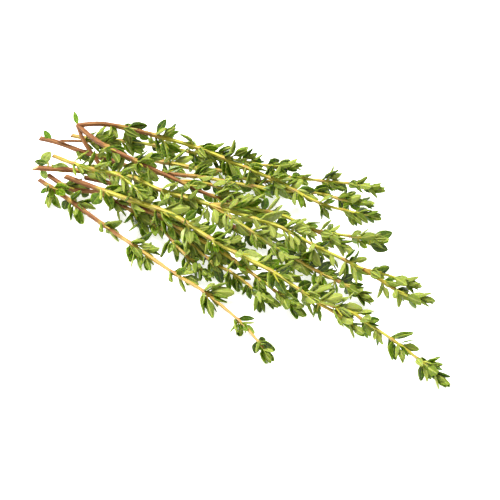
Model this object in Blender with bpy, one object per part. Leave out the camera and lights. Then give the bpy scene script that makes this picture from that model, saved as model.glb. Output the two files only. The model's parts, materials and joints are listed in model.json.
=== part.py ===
# A loose bundle of cut thyme sprigs, lying on its side.
#
# Each sprig is one solid: a tapered, squarish stem with its forks, and the leaves that stand on it in
# crossed pairs, with a side shoot in each axil and a rosette at each tip. A side shoot is one broad
# blade here. A stem follows a route of points chosen by hand and has its leaves at chosen distances
# from its tip. The leaves there follow a rule, and each one turns aside until it is clear of the
# other sprigs and of the table. Lengths are in millimetres until the meshes are made.

import math
import random

import bmesh
import bpy
from mathutils import Vector, kdtree

MM = 0.001

# Where the layout's own centre goes, so that the box of the whole bundle is centred on the origin
LAYOUT_SHIFT = Vector((2.0, -4.0, 0.0))

# Stem
STEM_STEP = 7.0            # length of a straight stretch in a stem
STEM_TIP_RADIUS = 0.45     # from the middle to a corner, where a stem ends in its rosette
OBSTACLE_STEP = 1.0        # spacing of the points that stand for a stem when leaves avoid it
CURVE_PARTS = 16           # short chords between two points of a route

# Leaf blade. Outlines and probes are (share of the length, share of the width).
LEAF_THICK = 0.6
LEAF_WIDTH_RATIO = 0.43
BIG_LEAF = ((0.0, 0.0), (0.38, 0.5), (0.72, 0.37), (1.0, 0.0))
SMALL_LEAF = ((0.0, 0.0), (0.43, 0.5), (1.0, 0.0))
OUTLINES = {"pair": BIG_LEAF, "single": BIG_LEAF, "rosette": SMALL_LEAF, "shoot": SMALL_LEAF}
LEAF_PROBES = ((0.25, 0.0), (0.42, 0.38), (0.6, 0.38), (0.78, 0.25), (1.0, 0.0))

# Rule for the leaves, by distance from the tip of their stem. A rosette's pairs are (distance from
# the tip, opening from the stem in degrees, length).
SEED = 41
LEAF_LENGTH_TIP = 5.6
LEAF_LENGTH_GAIN = 1.3
LEAF_LENGTH_REACH = 20.0
ROSETTE = ((6.2, 46.0, 6.0), (3.4, 34.0, 5.4), (0.6, 16.0, 4.6))
PAIR_OPENING = 54.0
PAIR_TURN = 90.0           # each pair stands across the one below it
SHOOT_LENGTH_TIP = 5.2
SHOOT_LENGTH_GAIN = 3.2
SHOOT_LENGTH_REACH = 60.0
SHOOT_OPENING = 32.0
SHOOT_SPREAD = 36.0        # turn from a pair's leaf to the side shoot beside it
SHOOT_AHEAD = 1.5

# Chance in the leaves: degrees either way, and ranges
TURN_CHANCE = 15.0
PAIR_CHANCE = 12.0
SHOOT_CHANCE = 10.0
ROLL_CHANCE = 25.0
PAIR_SIZES = (0.88, 1.12)
SHOOT_SIZES = (0.85, 1.2)
ROSETTE_BENDS = (0.0, 0.2)
PAIR_BENDS = (0.0, 0.35)
SHOOT_BENDS = (-0.2, 0.2)

# How a leaf turns aside, as turns round the stem and changes of its opening, in degrees
TURNS = (0, 18, -18, 36, -36, 58, -58, 82, -82)
OPENINGS = (0, -14, 14)
SHRINKS = (1.0, 0.8)

# Clearances between the middle surfaces of blades, stems and the table
LEAF_TO_LEAF = 1.55
LEAF_TO_OWN = 0.9
LEAF_TO_STEM = 1.05
LEAF_TO_TABLE = 0.05

# Slab under the table's surface that flattens what lies on it
SLAB = Vector((400.0, 300.0, 10.0))

LEAF_ROUGHNESS = 0.55
STEM_ROUGHNESS = 0.6
BROWN = (0.40, 0.16, 0.09)
STRAW = (0.66, 0.50, 0.10)
LIME = (0.70, 0.68, 0.16)
GREEN = (0.13, 0.24, 0.04)
PALE_GREEN = (0.25, 0.36, 0.12)

# Sprigs in the order in which they take their room, those on top first. A stem is its radius at the
# thick end, its route, and the distances of its nodes from the tip.
SPRIGS = {
    "sprig_middle_branched": (PALE_GREEN, STRAW, (
        (1.05, ((-86, -17, 8), (-75, -12, 9), (-61, -7, 11), (-51, -4, 12), (-36, -4, 13),
                (-17, -1, 14), (-1, 2, 14), (11, 4, 14), (25, 4, 13), (38, 5, 12),
                (44, 5, 12), (52, 9, 10), (60, 11, 9)),
         (15.5, 25, 38, 50, 62, 75, 90, 99, 112, 121, 134)),
        (0.7, ((44, 5, 12), (53, 6, 9), (60, 7, 7), (66, 10, 6)), (11,)),
        (0.75, ((-17, -1, 14), (-9, 4, 14), (6, 11, 12), (18, 13, 10), (31, 19, 9), (39, 24, 8)),
         (10, 21, 30, 41, 52)),
        (0.6, ((18, 13, 10), (25, 14, 9), (31, 14, 8)), (10,)),
        (0.7, ((-17, -1, 14), (-4, -1, 12), (11, -2, 10), (20, -3, 8)), (10, 19, 28)),
    )),
    "sprig_front_long": (GREEN, STRAW, (
        (1.0, ((-73, -15, 9), (-58, -15, 11), (-45, -14, 12), (-26, -12, 13), (-7, -14, 13),
               (8, -14, 12), (19, -14, 12), (31, -15, 11), (37, -16, 11), (50, -13, 10),
               (56, -13, 9), (68, -14, 8), (79, -15, 6), (88, -17, 5)),
         (10.5, 20.5, 34, 45, 58, 71, 86, 97, 109, 121.5, 134, 145)),
        (0.65, ((37, -16, 11), (40, -15, 9), (47, -14, 7), (54, -15, 6)), (10,)),
    )),
    "sprig_back_forked": (GREEN, BROWN, (
        (1.0, ((-82, 4, 16), (-76, 5, 19), (-72, 9, 18), (-66, 15, 14.5), (-57, 20, 12),
               (-40, 24, 11.3), (-23, 25, 11.3), (-6, 25, 12), (12, 25, 11), (22, 29, 9),
               (30, 34, 7)),
         (10.5, 20, 30, 41, 52, 62, 73, 90.5, 104)),
        (1.1, ((-82, 4, 16), (-73, 1, 17), (-64, -1, 18), (-51, -1, 18), (-32, 1, 16),
               (-21, 4, 13), (-10, 9, 10), (-2, 10, 8)),
         (10, 19, 30, 51, 64)),
        (0.6, ((-32, 1, 16), (-28, 5, 15), (-22, 9, 13), (-13, 10, 12)), (10,)),
        (0.95, ((-82, 4, 16), (-77, 1, 13), (-71, 0, 8), (-64, -1, 3), (-56, -2, 0.6),
                (-46, -4, 0.3), (-38, -6, 0.3), (-30, -8, 1.5)),
         (10,)),
    )),
    "sprig_middle_lime": (PALE_GREEN, LIME, (
        (0.8, ((-81, -12, 13), (-72, -12, 14), (-63, -11, 15), (-52, -9, 16), (-39, -12, 16)),
         (13, 24, 33)),
    )),
    "sprig_front_edge": (GREEN, STRAW, (
        (0.95, ((-84, -18, 4), (-68, -20, 4), (-50, -23, 4), (-35, -25, 4), (-13, -28, 4),
                (0, -29, 4), (18, -33, 4), (29, -37, 4), (35, -40, 4)),
         (18.5, 36, 50.5, 72, 87, 104, 116)),
    )),
    "sprig_back_lower": (GREEN, BROWN, (
        (1.0, ((-95, -4, 9), (-88, -2, 9), (-79, 0, 8), (-68, 3, 7), (-52, 6, 7), (-39, 11, 8),
               (-31, 15, 8), (-22, 18, 8), (-12, 22, 8), (-1, 27, 8), (8, 32, 8), (17, 34, 8),
               (25, 37, 8)),
         (10, 20, 31, 42, 53, 65, 77, 90, 104)),
        (0.6, ((-88, -2, 9), (-84, -1, 11), (-76, 4, 11), (-69, 8, 11)), (11,)),
    )),
    "sprig_middle_low": (GREEN, STRAW, (
        (0.9, ((-44, -13, 9), (-31, -12, 9), (-18, -13, 9), (-1, -14, 9), (19, -17, 8),
               (33, -19, 6)),
         (10, 20, 30, 41, 52, 63)),
    )),
    "sprig_back_short": (GREEN, STRAW, (
        (0.85, ((-55, 13, 6), (-44, 17, 6), (-35, 20, 6), (-28, 24, 6), (-15, 26, 6),
                (-6, 35, 6), (4, 40, 6), (14, 45, 6), (23, 48, 6)),
         (10, 20.5, 32, 42, 51, 61, 72, 82)),
    )),
    "sprig_back_yellow": (PALE_GREEN, STRAW, (
        (0.85, ((-87, 5, 8), (-76, 9, 8), (-69, 15, 7), (-55, 22, 6), (-40, 27, 6),
                (-27, 32, 6), (-16, 36, 6), (-9, 41, 6)),
         (10, 20, 31, 40.5, 54, 67, 78)),
    )),
    "sprig_middle_short": (GREEN, STRAW, (
        (0.85, ((-13, 2, 5), (4, 3, 5), (16, 2, 5), (28, 0, 6), (40, 0, 6), (48, 0, 5)),
         (10, 20, 30, 40, 51)),
    )),
    "sprig_middle_under": (GREEN, STRAW, (
        (0.9, ((-69, -9, 6), (-59, -6, 6), (-49, -6, 6), (-25, -11, 5), (-8, -16, 5),
               (7, -18, 6), (16, -20, 6), (23, -20, 5)),
         (10.5, 20, 31, 42, 53, 64, 75)),
    )),
    "sprig_front_short": (PALE_GREEN, BROWN, (
        (0.95, ((-82, -15, 5), (-70, -16, 5), (-60, -13, 6), (-44, -13, 6), (-30, -14, 6),
                (-18, -18, 5), (-4, -22, 4)),
         (10.5, 20, 31, 41, 50, 72)),
    )),
}

# Leaves that stand alone, with a root, a tip and a width. They lie open towards one side.
SINGLE_LEAVES = {
    "sprig_back_forked": (((-82, 4, 16), (-85, 6, 20), 1.8),
                          ((-58, 21, 12), (-57, 26, 16), 2.9),
                          ((-63, -3, 19), (-59, 0, 18), 2.2)),
    "sprig_back_lower": (((-90, -3, 9), (-94, -2, 12), 2.2),),
    "sprig_middle_branched": (((-85, -15, 9), (-84, -10, 12), 3.6),
                              ((-80, -14, 10), (-74, -11, 9), 3.2)),
    "sprig_front_long": (((-55, -16, 11), (-56, -20, 8), 4.3),),
    "sprig_front_edge": (((-78, -19, 4), (-80, -22, 2), 1.8),),
}
OPEN_SIDE = Vector((0.4, -0.6, 0.7))


def smooth_route(points, step):
    """Points about every step along a smooth curve through the given points."""
    knots = [Vector(p) for p in points]
    knots = [knots[0] * 2 - knots[1]] + knots + [knots[-1] * 2 - knots[-2]]
    fine = []
    for a, b, c, d in zip(knots, knots[1:], knots[2:], knots[3:]):
        for i in range(CURVE_PARTS):
            t = i / CURVE_PARTS
            fine.append(0.5 * (2 * b + (c - a) * t + (2 * a - 5 * b + 4 * c - d) * t ** 2
                               + (3 * b - a - 3 * c + d) * t ** 3))
    fine.append(knots[-2])
    length = sum((q - p).length for p, q in zip(fine, fine[1:]))
    count = max(2, round(length / step))
    route = [fine[0]]
    walked = 0.0
    for p, q in zip(fine, fine[1:]):
        span = (q - p).length
        while len(route) < count and walked + span >= length * len(route) / count:
            route.append(p.lerp(q, (length * len(route) / count - walked) / span))
        walked += span
    route.append(fine[-1])
    return route


def stem_frames(route):
    """Direction, side and upper directions at each point of a route."""
    frames = []
    for i in range(len(route)):
        along = (route[min(i + 1, len(route) - 1)] - route[max(i - 1, 0)]).normalized()
        side = along.cross(Vector((0, 0, 1))).normalized()
        frames.append((along, side, side.cross(along)))
    return frames


def stem_radius(base, share):
    """Radius of a stem at a share of its length from the thick end."""
    return base + (STEM_TIP_RADIUS - base) * share


def probes(leaf):
    """Points of a blade's middle surface that stand for it when clearances are measured."""
    points = []
    for share, half in LEAF_PROBES:
        for side in ((-half, 0.0, half) if half else (0.0,)):
            points.append(blade_point(leaf, share, side))
    return points


def blade_point(leaf, share, side):
    """A point of the middle surface, by share of the length and of the width."""
    root, out, face, length, width, bend, _ = leaf
    across = out.cross(face)
    along = share * length
    return root + out * along + across * (side * width) - face * (bend * share * along)


def leaf_at(root, frame, turn, opening, length, bend, roll, kind):
    """A leaf that leaves the stem at a turn round it and an opening from its direction."""
    along, side, up = frame
    radial = side * math.cos(math.radians(turn)) + up * math.sin(math.radians(turn))
    angle = math.radians(opening)
    out = along * math.cos(angle) + radial * math.sin(angle)
    face = along * math.sin(angle) - radial * math.cos(angle)
    across = out.cross(face)
    face = face * math.cos(math.radians(roll)) + across * math.sin(math.radians(roll))
    return root, out, face, length, length * LEAF_WIDTH_RATIO, bend, kind


def single_leaf(root, tip, width):
    """A leaf placed by hand."""
    span = Vector(tip) - Vector(root)
    out = span.normalized()
    face = (OPEN_SIDE - out * OPEN_SIDE.dot(out)).normalized()
    return Vector(root), out, face, span.length, width, 0.0, "single"


def is_clear(leaf, own_points, other_leaves, other_stems, other_radii):
    """Whether a leaf stays clear of the table, of other sprigs and of its own sprig's leaves."""
    points = probes(leaf)
    for point in points:
        if point.z < LEAF_TO_TABLE:
            return False
        hit = other_stems.find(point)
        if hit[2] < other_radii[hit[1]] + LEAF_TO_STEM:
            return False
        hit = other_leaves.find(point)
        if hit[0] is not None and hit[2] < LEAF_TO_LEAF:
            return False
    for point in points[1:]:
        for own in own_points:
            if (own - point).length_squared < LEAF_TO_OWN ** 2:
                return False
    return True


def tree_of(points):
    """A search tree of points."""
    tree = kdtree.KDTree(len(points))
    for index, point in enumerate(points):
        tree.insert(point, index)
    tree.balance()
    return tree


def wanted_leaves(nodes, draw):
    """Leaves of one stem as (distance from the tip, turn, opening, length, bend, kind)."""
    wanted = []
    turn = draw.uniform(0, 90)
    for distance, opening, size in ROSETTE:
        for half_turn in (0, 180):
            bend = draw.uniform(*ROSETTE_BENDS)
            wanted.append((distance, turn + half_turn, opening, size, bend, "rosette"))
        turn += PAIR_TURN
    for distance in nodes:
        size = LEAF_LENGTH_TIP + LEAF_LENGTH_GAIN * min(1.0, distance / LEAF_LENGTH_REACH)
        turn += PAIR_TURN + draw.uniform(-TURN_CHANCE, TURN_CHANCE)
        for half_turn in (0, 180):
            opening = PAIR_OPENING + draw.uniform(-PAIR_CHANCE, PAIR_CHANCE)
            leaf_size = size * draw.uniform(*PAIR_SIZES)
            bend = draw.uniform(*PAIR_BENDS)
            wanted.append((distance, turn + half_turn, opening, leaf_size, bend, "pair"))
        size = SHOOT_LENGTH_TIP + SHOOT_LENGTH_GAIN * min(1.0, distance / SHOOT_LENGTH_REACH)
        for half_turn in (SHOOT_SPREAD, 180 + SHOOT_SPREAD):
            opening = SHOOT_OPENING + draw.uniform(-SHOOT_CHANCE, SHOOT_CHANCE)
            shoot_size = size * draw.uniform(*SHOOT_SIZES)
            bend = draw.uniform(*SHOOT_BENDS)
            wanted.append((distance - SHOOT_AHEAD, turn + half_turn, opening, shoot_size, bend,
                           "shoot"))
    return wanted


def place_leaves():
    """For each sprig, its leaves, each turned aside until it is clear."""
    stem_points = {}
    for name, (_, _, stems) in SPRIGS.items():
        stem_points[name] = []
        for base, points, _ in stems:
            route = smooth_route(points, OBSTACLE_STEP)
            last = len(route) - 1
            stem_points[name] += [(p, stem_radius(base, i / last)) for i, p in enumerate(route)]
    placed = {name: [single_leaf(*leaf) for leaf in SINGLE_LEAVES.get(name, ())] for name in SPRIGS}
    taken = [point for leaves in placed.values() for leaf in leaves for point in probes(leaf)]
    for number, (name, (_, _, stems)) in enumerate(SPRIGS.items()):
        draw = random.Random(SEED + number)
        others = [entry for other in SPRIGS if other != name for entry in stem_points[other]]
        other_stems = tree_of([p for p, _ in others])
        other_radii = [r for _, r in others]
        other_leaves = tree_of(taken)
        own_points = []
        for base, points, nodes in stems:
            route = smooth_route(points, OBSTACLE_STEP)
            frames = stem_frames(route)
            length = sum((q - p).length for p, q in zip(route, route[1:]))
            for distance, turn, opening, size, bend, kind in wanted_leaves(nodes, draw):
                index = round((1 - distance / length) * (len(route) - 1))
                roll = draw.uniform(-ROLL_CHANCE, ROLL_CHANCE)
                leaf = first_clear(route[index], frames[index], (turn, opening, size, bend, roll, kind),
                                   own_points, other_leaves, other_stems, other_radii)
                if leaf:
                    placed[name].append(leaf)
                    own_points += probes(leaf)[1:]
        for leaf in placed[name]:
            taken += probes(leaf)
    return placed


def first_clear(root, frame, wish, own_points, other_leaves, other_stems, other_radii):
    """The first of a leaf's possible turns that is clear, or None."""
    turn, opening, size, bend, roll, kind = wish
    for shrink in SHRINKS:
        for more_open in OPENINGS:
            for more_turn in TURNS:
                leaf = leaf_at(root, frame, turn + more_turn, opening + more_open,
                               size * shrink, bend, roll, kind)
                if is_clear(leaf, own_points, other_leaves, other_stems, other_radii):
                    return leaf
    return None


def new_object(name, verts, faces, material):
    """A mesh object from corners in millimetres of the layout."""
    mesh = bpy.data.meshes.new(name)
    mesh.from_pydata([(v + LAYOUT_SHIFT) * MM for v in verts], [], faces)
    mesh.materials.append(material)
    mesh.update()
    thing = bpy.data.objects.new(name, mesh)
    bpy.context.scene.collection.objects.link(thing)
    return thing


def stem_object(name, base, points, material):
    """A tapered stem of squarish section."""
    route = smooth_route(points, STEM_STEP)
    verts = []
    faces = []
    for index, (point, (_, side, up)) in enumerate(zip(route, stem_frames(route))):
        half = stem_radius(base, index / (len(route) - 1)) * math.sqrt(0.5)
        for x, y in ((1, 1), (-1, 1), (-1, -1), (1, -1)):
            verts.append(point + side * (x * half) + up * (y * half))
    for ring in range(len(route) - 1):
        for corner in range(4):
            a = ring * 4 + corner
            b = ring * 4 + (corner + 1) % 4
            faces.append((a, b, b + 4, a + 4))
    faces.append((3, 2, 1, 0))
    top = len(verts) - 4
    faces.append((top, top + 1, top + 2, top + 3))
    return new_object(name, verts, faces, material)


def leaf_object(name, leaf, material):
    """A thin blade, bent along its length, its faces alike on both sides and joined at a sharp tip."""
    face = leaf[2]
    edge = OUTLINES[leaf[6]]
    outline = edge + tuple((share, -half) for share, half in reversed(edge[1:-1]))
    tip = len(edge) - 1
    count = len(outline)
    half_thick = face * (LEAF_THICK / 2)
    middle = [blade_point(leaf, share, half) for share, half in outline]
    verts = [p if i == tip else p + half_thick for i, p in enumerate(middle)]
    verts += [p - half_thick for i, p in enumerate(middle) if i != tip]
    below = {i: tip if i == tip else i + count - (i > tip) for i in range(count)}
    strips = [(0, 1, count - 1), (tip - 1, tip, tip + 1)]
    for i in range(1, tip - 1):
        strips.append((i, i + 1, count - i - 1, count - i))
    faces = [tuple(reversed(strip)) for strip in strips]
    faces += [tuple(below[i] for i in strip) for strip in strips]
    for a in range(count):
        b = (a + 1) % count
        rim = (a, b, below[b], below[a])
        faces.append(tuple(i for n, i in enumerate(rim) if i not in rim[:n]))
    return new_object(name, verts, faces, material)


def principled(name, colour, roughness):
    """A plain plant material."""
    material = bpy.data.materials.new(name)
    material.use_nodes = True
    shader = material.node_tree.nodes["Principled BSDF"]
    shader.inputs["Base Color"].default_value = (*colour, 1.0)
    shader.inputs["Roughness"].default_value = roughness
    shader.inputs["Metallic"].default_value = 0.0
    return material


def boolean(thing, operation, operand):
    """Applies one exact Boolean with a collection or an object."""
    modifier = thing.modifiers.new(operation.title(), "BOOLEAN")
    modifier.operation = operation
    modifier.solver = "EXACT"
    modifier.material_mode = "TRANSFER"
    if isinstance(operand, bpy.types.Collection):
        modifier.operand_type = "COLLECTION"
        modifier.collection = operand
    else:
        modifier.object = operand
    bpy.context.view_layer.objects.active = thing
    bpy.ops.object.modifier_apply(modifier=modifier.name)


def keep_largest_body(thing):
    """Drops loose scraps and the walls of sealed hollows, so that one outer body is left."""
    shape = bmesh.new()
    shape.from_mesh(thing.data)
    unseen = set(shape.faces)
    bodies = []
    while unseen:
        start = unseen.pop()
        body = [start]
        front = [start]
        while front:
            for edge in front.pop().edges:
                for face in edge.link_faces:
                    if face in unseen:
                        unseen.remove(face)
                        body.append(face)
                        front.append(face)
        bodies.append(body)
    bodies.sort(key=lambda body: sum(face.calc_area() for face in body))
    for body in bodies[:-1]:
        bmesh.ops.delete(shape, geom=body, context="FACES")
    loose = [v for v in shape.verts if not v.link_faces]
    bmesh.ops.delete(shape, geom=loose, context="VERTS")
    shape.to_mesh(thing.data)
    shape.free()


def table_cutter(name):
    """A slab below the table's surface, which flattens what would dip into it."""
    bpy.ops.mesh.primitive_cube_add(size=1.0)
    slab = bpy.context.object
    slab.name = name
    slab.scale = SLAB * MM
    slab.location.z = -SLAB.z * MM / 2
    bpy.ops.object.transform_apply(location=True, rotation=False, scale=True)
    slab.hide_render = True
    slab.display_type = "WIRE"
    return slab


def build_sprig(name, stems, leaves, leaf_material, stem_material, slab):
    """One sprig: its first stem, with the other stems and all leaves fused into it."""
    sprig = stem_object(name, stems[0][0], stems[0][1], stem_material)
    repeats = bpy.data.collections.new(name + "_repeats")
    bpy.context.scene.collection.children.link(repeats)
    pieces = [stem_object(f"{name}_stem_{i}", base, points, stem_material)
              for i, (base, points, _) in enumerate(stems[1:])]
    pieces += [leaf_object(f"{name}_leaf_{i}", leaf, leaf_material)
               for i, leaf in enumerate(leaves)]
    for piece in pieces:
        bpy.context.scene.collection.objects.unlink(piece)
        repeats.objects.link(piece)
    boolean(sprig, "UNION", repeats)
    for piece in pieces:
        bpy.data.objects.remove(piece)
    bpy.data.collections.remove(repeats)
    keep_largest_body(sprig)
    if min(vertex.co.z for vertex in sprig.data.vertices) < 0:
        boolean(sprig, "DIFFERENCE", slab)
        keep_largest_body(sprig)
    return sprig


def main():
    for thing in list(bpy.data.objects):
        bpy.data.objects.remove(thing)
    leaves = place_leaves()
    slab = table_cutter("table_cutter")
    for name, (leaf_colour, stem_colour, stems) in SPRIGS.items():
        sprig = build_sprig(name, stems, leaves[name],
                            principled(name + "_leaf", leaf_colour, LEAF_ROUGHNESS),
                            principled(name + "_stem", stem_colour, STEM_ROUGHNESS), slab)
        print(name, len(leaves[name]), "leaves", len(sprig.data.polygons), "faces")


main()
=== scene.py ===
# %% [markdown]
# # A loose bundle of cut thyme
# Garden thyme is a small shrub. Its stems are about 1.5 mm thick: squarish, brown and woody where
# they are old, yellow to lime where they are young. At every node two leaves stand opposite each
# other, crossed with the pair below, and a leafy side shoot grows in the axil of each. This lesson
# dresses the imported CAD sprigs. Each sprig is replaced by two finer pieces in the same place: its
# stems, and its leaves.

# %% Load the frame
import json
import math
import random
from collections import namedtuple

import bmesh
import bpy
import numpy as np
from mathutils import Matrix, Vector, kdtree

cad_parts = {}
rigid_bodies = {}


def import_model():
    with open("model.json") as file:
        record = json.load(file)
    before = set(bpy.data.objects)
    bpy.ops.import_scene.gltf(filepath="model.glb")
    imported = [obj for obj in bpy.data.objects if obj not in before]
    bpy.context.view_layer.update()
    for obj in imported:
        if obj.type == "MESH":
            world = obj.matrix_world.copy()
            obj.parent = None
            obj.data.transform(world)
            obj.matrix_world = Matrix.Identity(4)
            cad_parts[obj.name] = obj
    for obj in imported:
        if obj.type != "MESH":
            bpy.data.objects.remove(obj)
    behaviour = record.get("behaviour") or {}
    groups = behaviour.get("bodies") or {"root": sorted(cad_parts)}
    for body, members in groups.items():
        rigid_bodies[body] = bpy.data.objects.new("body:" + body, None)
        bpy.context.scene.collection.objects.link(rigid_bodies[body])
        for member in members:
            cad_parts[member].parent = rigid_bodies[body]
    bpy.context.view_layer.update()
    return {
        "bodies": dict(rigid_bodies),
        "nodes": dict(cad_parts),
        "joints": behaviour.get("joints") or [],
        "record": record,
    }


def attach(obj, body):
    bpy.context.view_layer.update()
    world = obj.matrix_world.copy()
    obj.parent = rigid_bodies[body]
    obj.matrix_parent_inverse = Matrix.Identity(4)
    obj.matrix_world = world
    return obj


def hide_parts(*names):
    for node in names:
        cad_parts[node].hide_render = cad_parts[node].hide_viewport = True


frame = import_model()
print("sprigs in the frame:", len(frame["nodes"]))

# %% [markdown]
# ## Camera
# The photo looks down on the bundle by 45 degrees, from the front and a little from the side of
# the tips. A long lens at half a metre gives the same mild perspective.

# %% Set the camera
MM = 0.001
LAYOUT_SHIFT = Vector((2.0, -4.0, 0.0))     # mm, from the layout's own centre to the origin
CAMERA_SIDE = math.radians(35)
CAMERA_HEIGHT = math.radians(45)
CAMERA_DISTANCE = 0.520
CAMERA_LENS = 104.0                         # mm on a 36 mm sensor
CAMERA_NEAR = 0.01                          # metres


def place_camera():
    """Adds the camera at the photo's angle."""
    back = Vector((math.sin(CAMERA_SIDE) * math.cos(CAMERA_HEIGHT),
                   -math.cos(CAMERA_SIDE) * math.cos(CAMERA_HEIGHT),
                   math.sin(CAMERA_HEIGHT)))
    bpy.ops.object.camera_add(location=LAYOUT_SHIFT * MM + back * CAMERA_DISTANCE,
                              rotation=back.to_track_quat("Z", "Y").to_euler())
    camera = bpy.context.object
    camera.name = "photo_camera"
    camera.data.lens = CAMERA_LENS
    camera.data.clip_start = CAMERA_NEAR
    bpy.context.scene.camera = camera
    print("camera at", [round(c, 3) for c in camera.location])


place_camera()

# %% [markdown]
# ## Where each stem runs
# A stem is its radius at the thick end, its route, and the distances of its nodes from the tip, in
# millimetres. These are the values the CAD sprigs were grown from, so the finer stems lie exactly
# where the solids are. With each sprig comes how far its stems have turned to wood, as (woody
# length from the thick end, length over which that fades), and how lime their young part is.

# %% The sprigs' stems
SPRIGS = {
    "sprig_middle_branched": (
        (1.05, ((-86, -17, 8), (-75, -12, 9), (-61, -7, 11), (-51, -4, 12), (-36, -4, 13),
                (-17, -1, 14), (-1, 2, 14), (11, 4, 14), (25, 4, 13), (38, 5, 12),
                (44, 5, 12), (52, 9, 10), (60, 11, 9)),
         (15.5, 25, 38, 50, 62, 75, 90, 99, 112, 121, 134)),
        (0.7, ((44, 5, 12), (53, 6, 9), (60, 7, 7), (66, 10, 6)), (11,)),
        (0.75, ((-17, -1, 14), (-9, 4, 14), (6, 11, 12), (18, 13, 10), (31, 19, 9), (39, 24, 8)),
         (10, 21, 30, 41, 52)),
        (0.6, ((18, 13, 10), (25, 14, 9), (31, 14, 8)), (10,)),
        (0.7, ((-17, -1, 14), (-4, -1, 12), (11, -2, 10), (20, -3, 8)), (10, 19, 28)),
    ),
    "sprig_front_long": (
        (1.0, ((-73, -15, 9), (-58, -15, 11), (-45, -14, 12), (-26, -12, 13), (-7, -14, 13),
               (8, -14, 12), (19, -14, 12), (31, -15, 11), (37, -16, 11), (50, -13, 10),
               (56, -13, 9), (68, -14, 8), (79, -15, 6), (88, -17, 5)),
         (10.5, 20.5, 34, 45, 58, 71, 86, 97, 109, 121.5, 134, 145)),
        (0.65, ((37, -16, 11), (40, -15, 9), (47, -14, 7), (54, -15, 6)), (10,)),
    ),
    "sprig_back_forked": (
        (1.0, ((-82, 4, 16), (-76, 5, 19), (-72, 9, 18), (-66, 15, 14.5), (-57, 20, 12),
               (-40, 24, 11.3), (-23, 25, 11.3), (-6, 25, 12), (12, 25, 11), (22, 29, 9),
               (30, 34, 7)),
         (10.5, 20, 30, 41, 52, 62, 73, 90.5, 104)),
        (1.1, ((-82, 4, 16), (-73, 1, 17), (-64, -1, 18), (-51, -1, 18), (-32, 1, 16),
               (-21, 4, 13), (-10, 9, 10), (-2, 10, 8)),
         (10, 19, 30, 51, 64)),
        (0.6, ((-32, 1, 16), (-28, 5, 15), (-22, 9, 13), (-13, 10, 12)), (10,)),
        (0.95, ((-82, 4, 16), (-77, 1, 13), (-71, 0, 8), (-64, -1, 3), (-56, -2, 0.6),
                (-46, -4, 0.3), (-38, -6, 0.3), (-30, -8, 1.5)),
         (10,)),
    ),
    "sprig_middle_lime": (
        (0.8, ((-81, -12, 13), (-72, -12, 14), (-63, -11, 15), (-52, -9, 16), (-39, -12, 16)),
         (13, 24, 33)),
    ),
    "sprig_front_edge": (
        (0.95, ((-84, -18, 4), (-68, -20, 4), (-50, -23, 4), (-35, -25, 4), (-13, -28, 4),
                (0, -29, 4), (18, -33, 4), (29, -37, 4), (35, -40, 4)),
         (18.5, 36, 50.5, 72, 87, 104, 116)),
    ),
    "sprig_back_lower": (
        (1.0, ((-95, -4, 9), (-88, -2, 9), (-79, 0, 8), (-68, 3, 7), (-52, 6, 7), (-39, 11, 8),
               (-31, 15, 8), (-22, 18, 8), (-12, 22, 8), (-1, 27, 8), (8, 32, 8), (17, 34, 8),
               (25, 37, 8)),
         (10, 20, 31, 42, 53, 65, 77, 90, 104)),
        (0.6, ((-88, -2, 9), (-84, -1, 11), (-76, 4, 11), (-69, 8, 11)), (11,)),
    ),
    "sprig_middle_low": (
        (0.9, ((-44, -13, 9), (-31, -12, 9), (-18, -13, 9), (-1, -14, 9), (19, -17, 8),
               (33, -19, 6)),
         (10, 20, 30, 41, 52, 63)),
    ),
    "sprig_back_short": (
        (0.85, ((-55, 13, 6), (-44, 17, 6), (-35, 20, 6), (-28, 24, 6), (-15, 26, 6),
                (-6, 35, 6), (4, 40, 6), (14, 45, 6), (23, 48, 6)),
         (10, 20.5, 32, 42, 51, 61, 72, 82)),
    ),
    "sprig_back_yellow": (
        (0.85, ((-87, 5, 8), (-76, 9, 8), (-69, 15, 7), (-55, 22, 6), (-40, 27, 6),
                (-27, 32, 6), (-16, 36, 6), (-9, 41, 6)),
         (10, 20, 31, 40.5, 54, 67, 78)),
    ),
    "sprig_middle_short": (
        (0.85, ((-13, 2, 5), (4, 3, 5), (16, 2, 5), (28, 0, 6), (40, 0, 6), (48, 0, 5)),
         (10, 20, 30, 40, 51)),
    ),
    "sprig_middle_under": (
        (0.9, ((-69, -9, 6), (-59, -6, 6), (-49, -6, 6), (-25, -11, 5), (-8, -16, 5),
               (7, -18, 6), (16, -20, 6), (23, -20, 5)),
         (10.5, 20, 31, 42, 53, 64, 75)),
    ),
    "sprig_front_short": (
        (0.95, ((-82, -15, 5), (-70, -16, 5), (-60, -13, 6), (-44, -13, 6), (-30, -14, 6),
                (-18, -18, 5), (-4, -22, 4)),
         (10.5, 20, 31, 41, 50, 72)),
    ),
}

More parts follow.
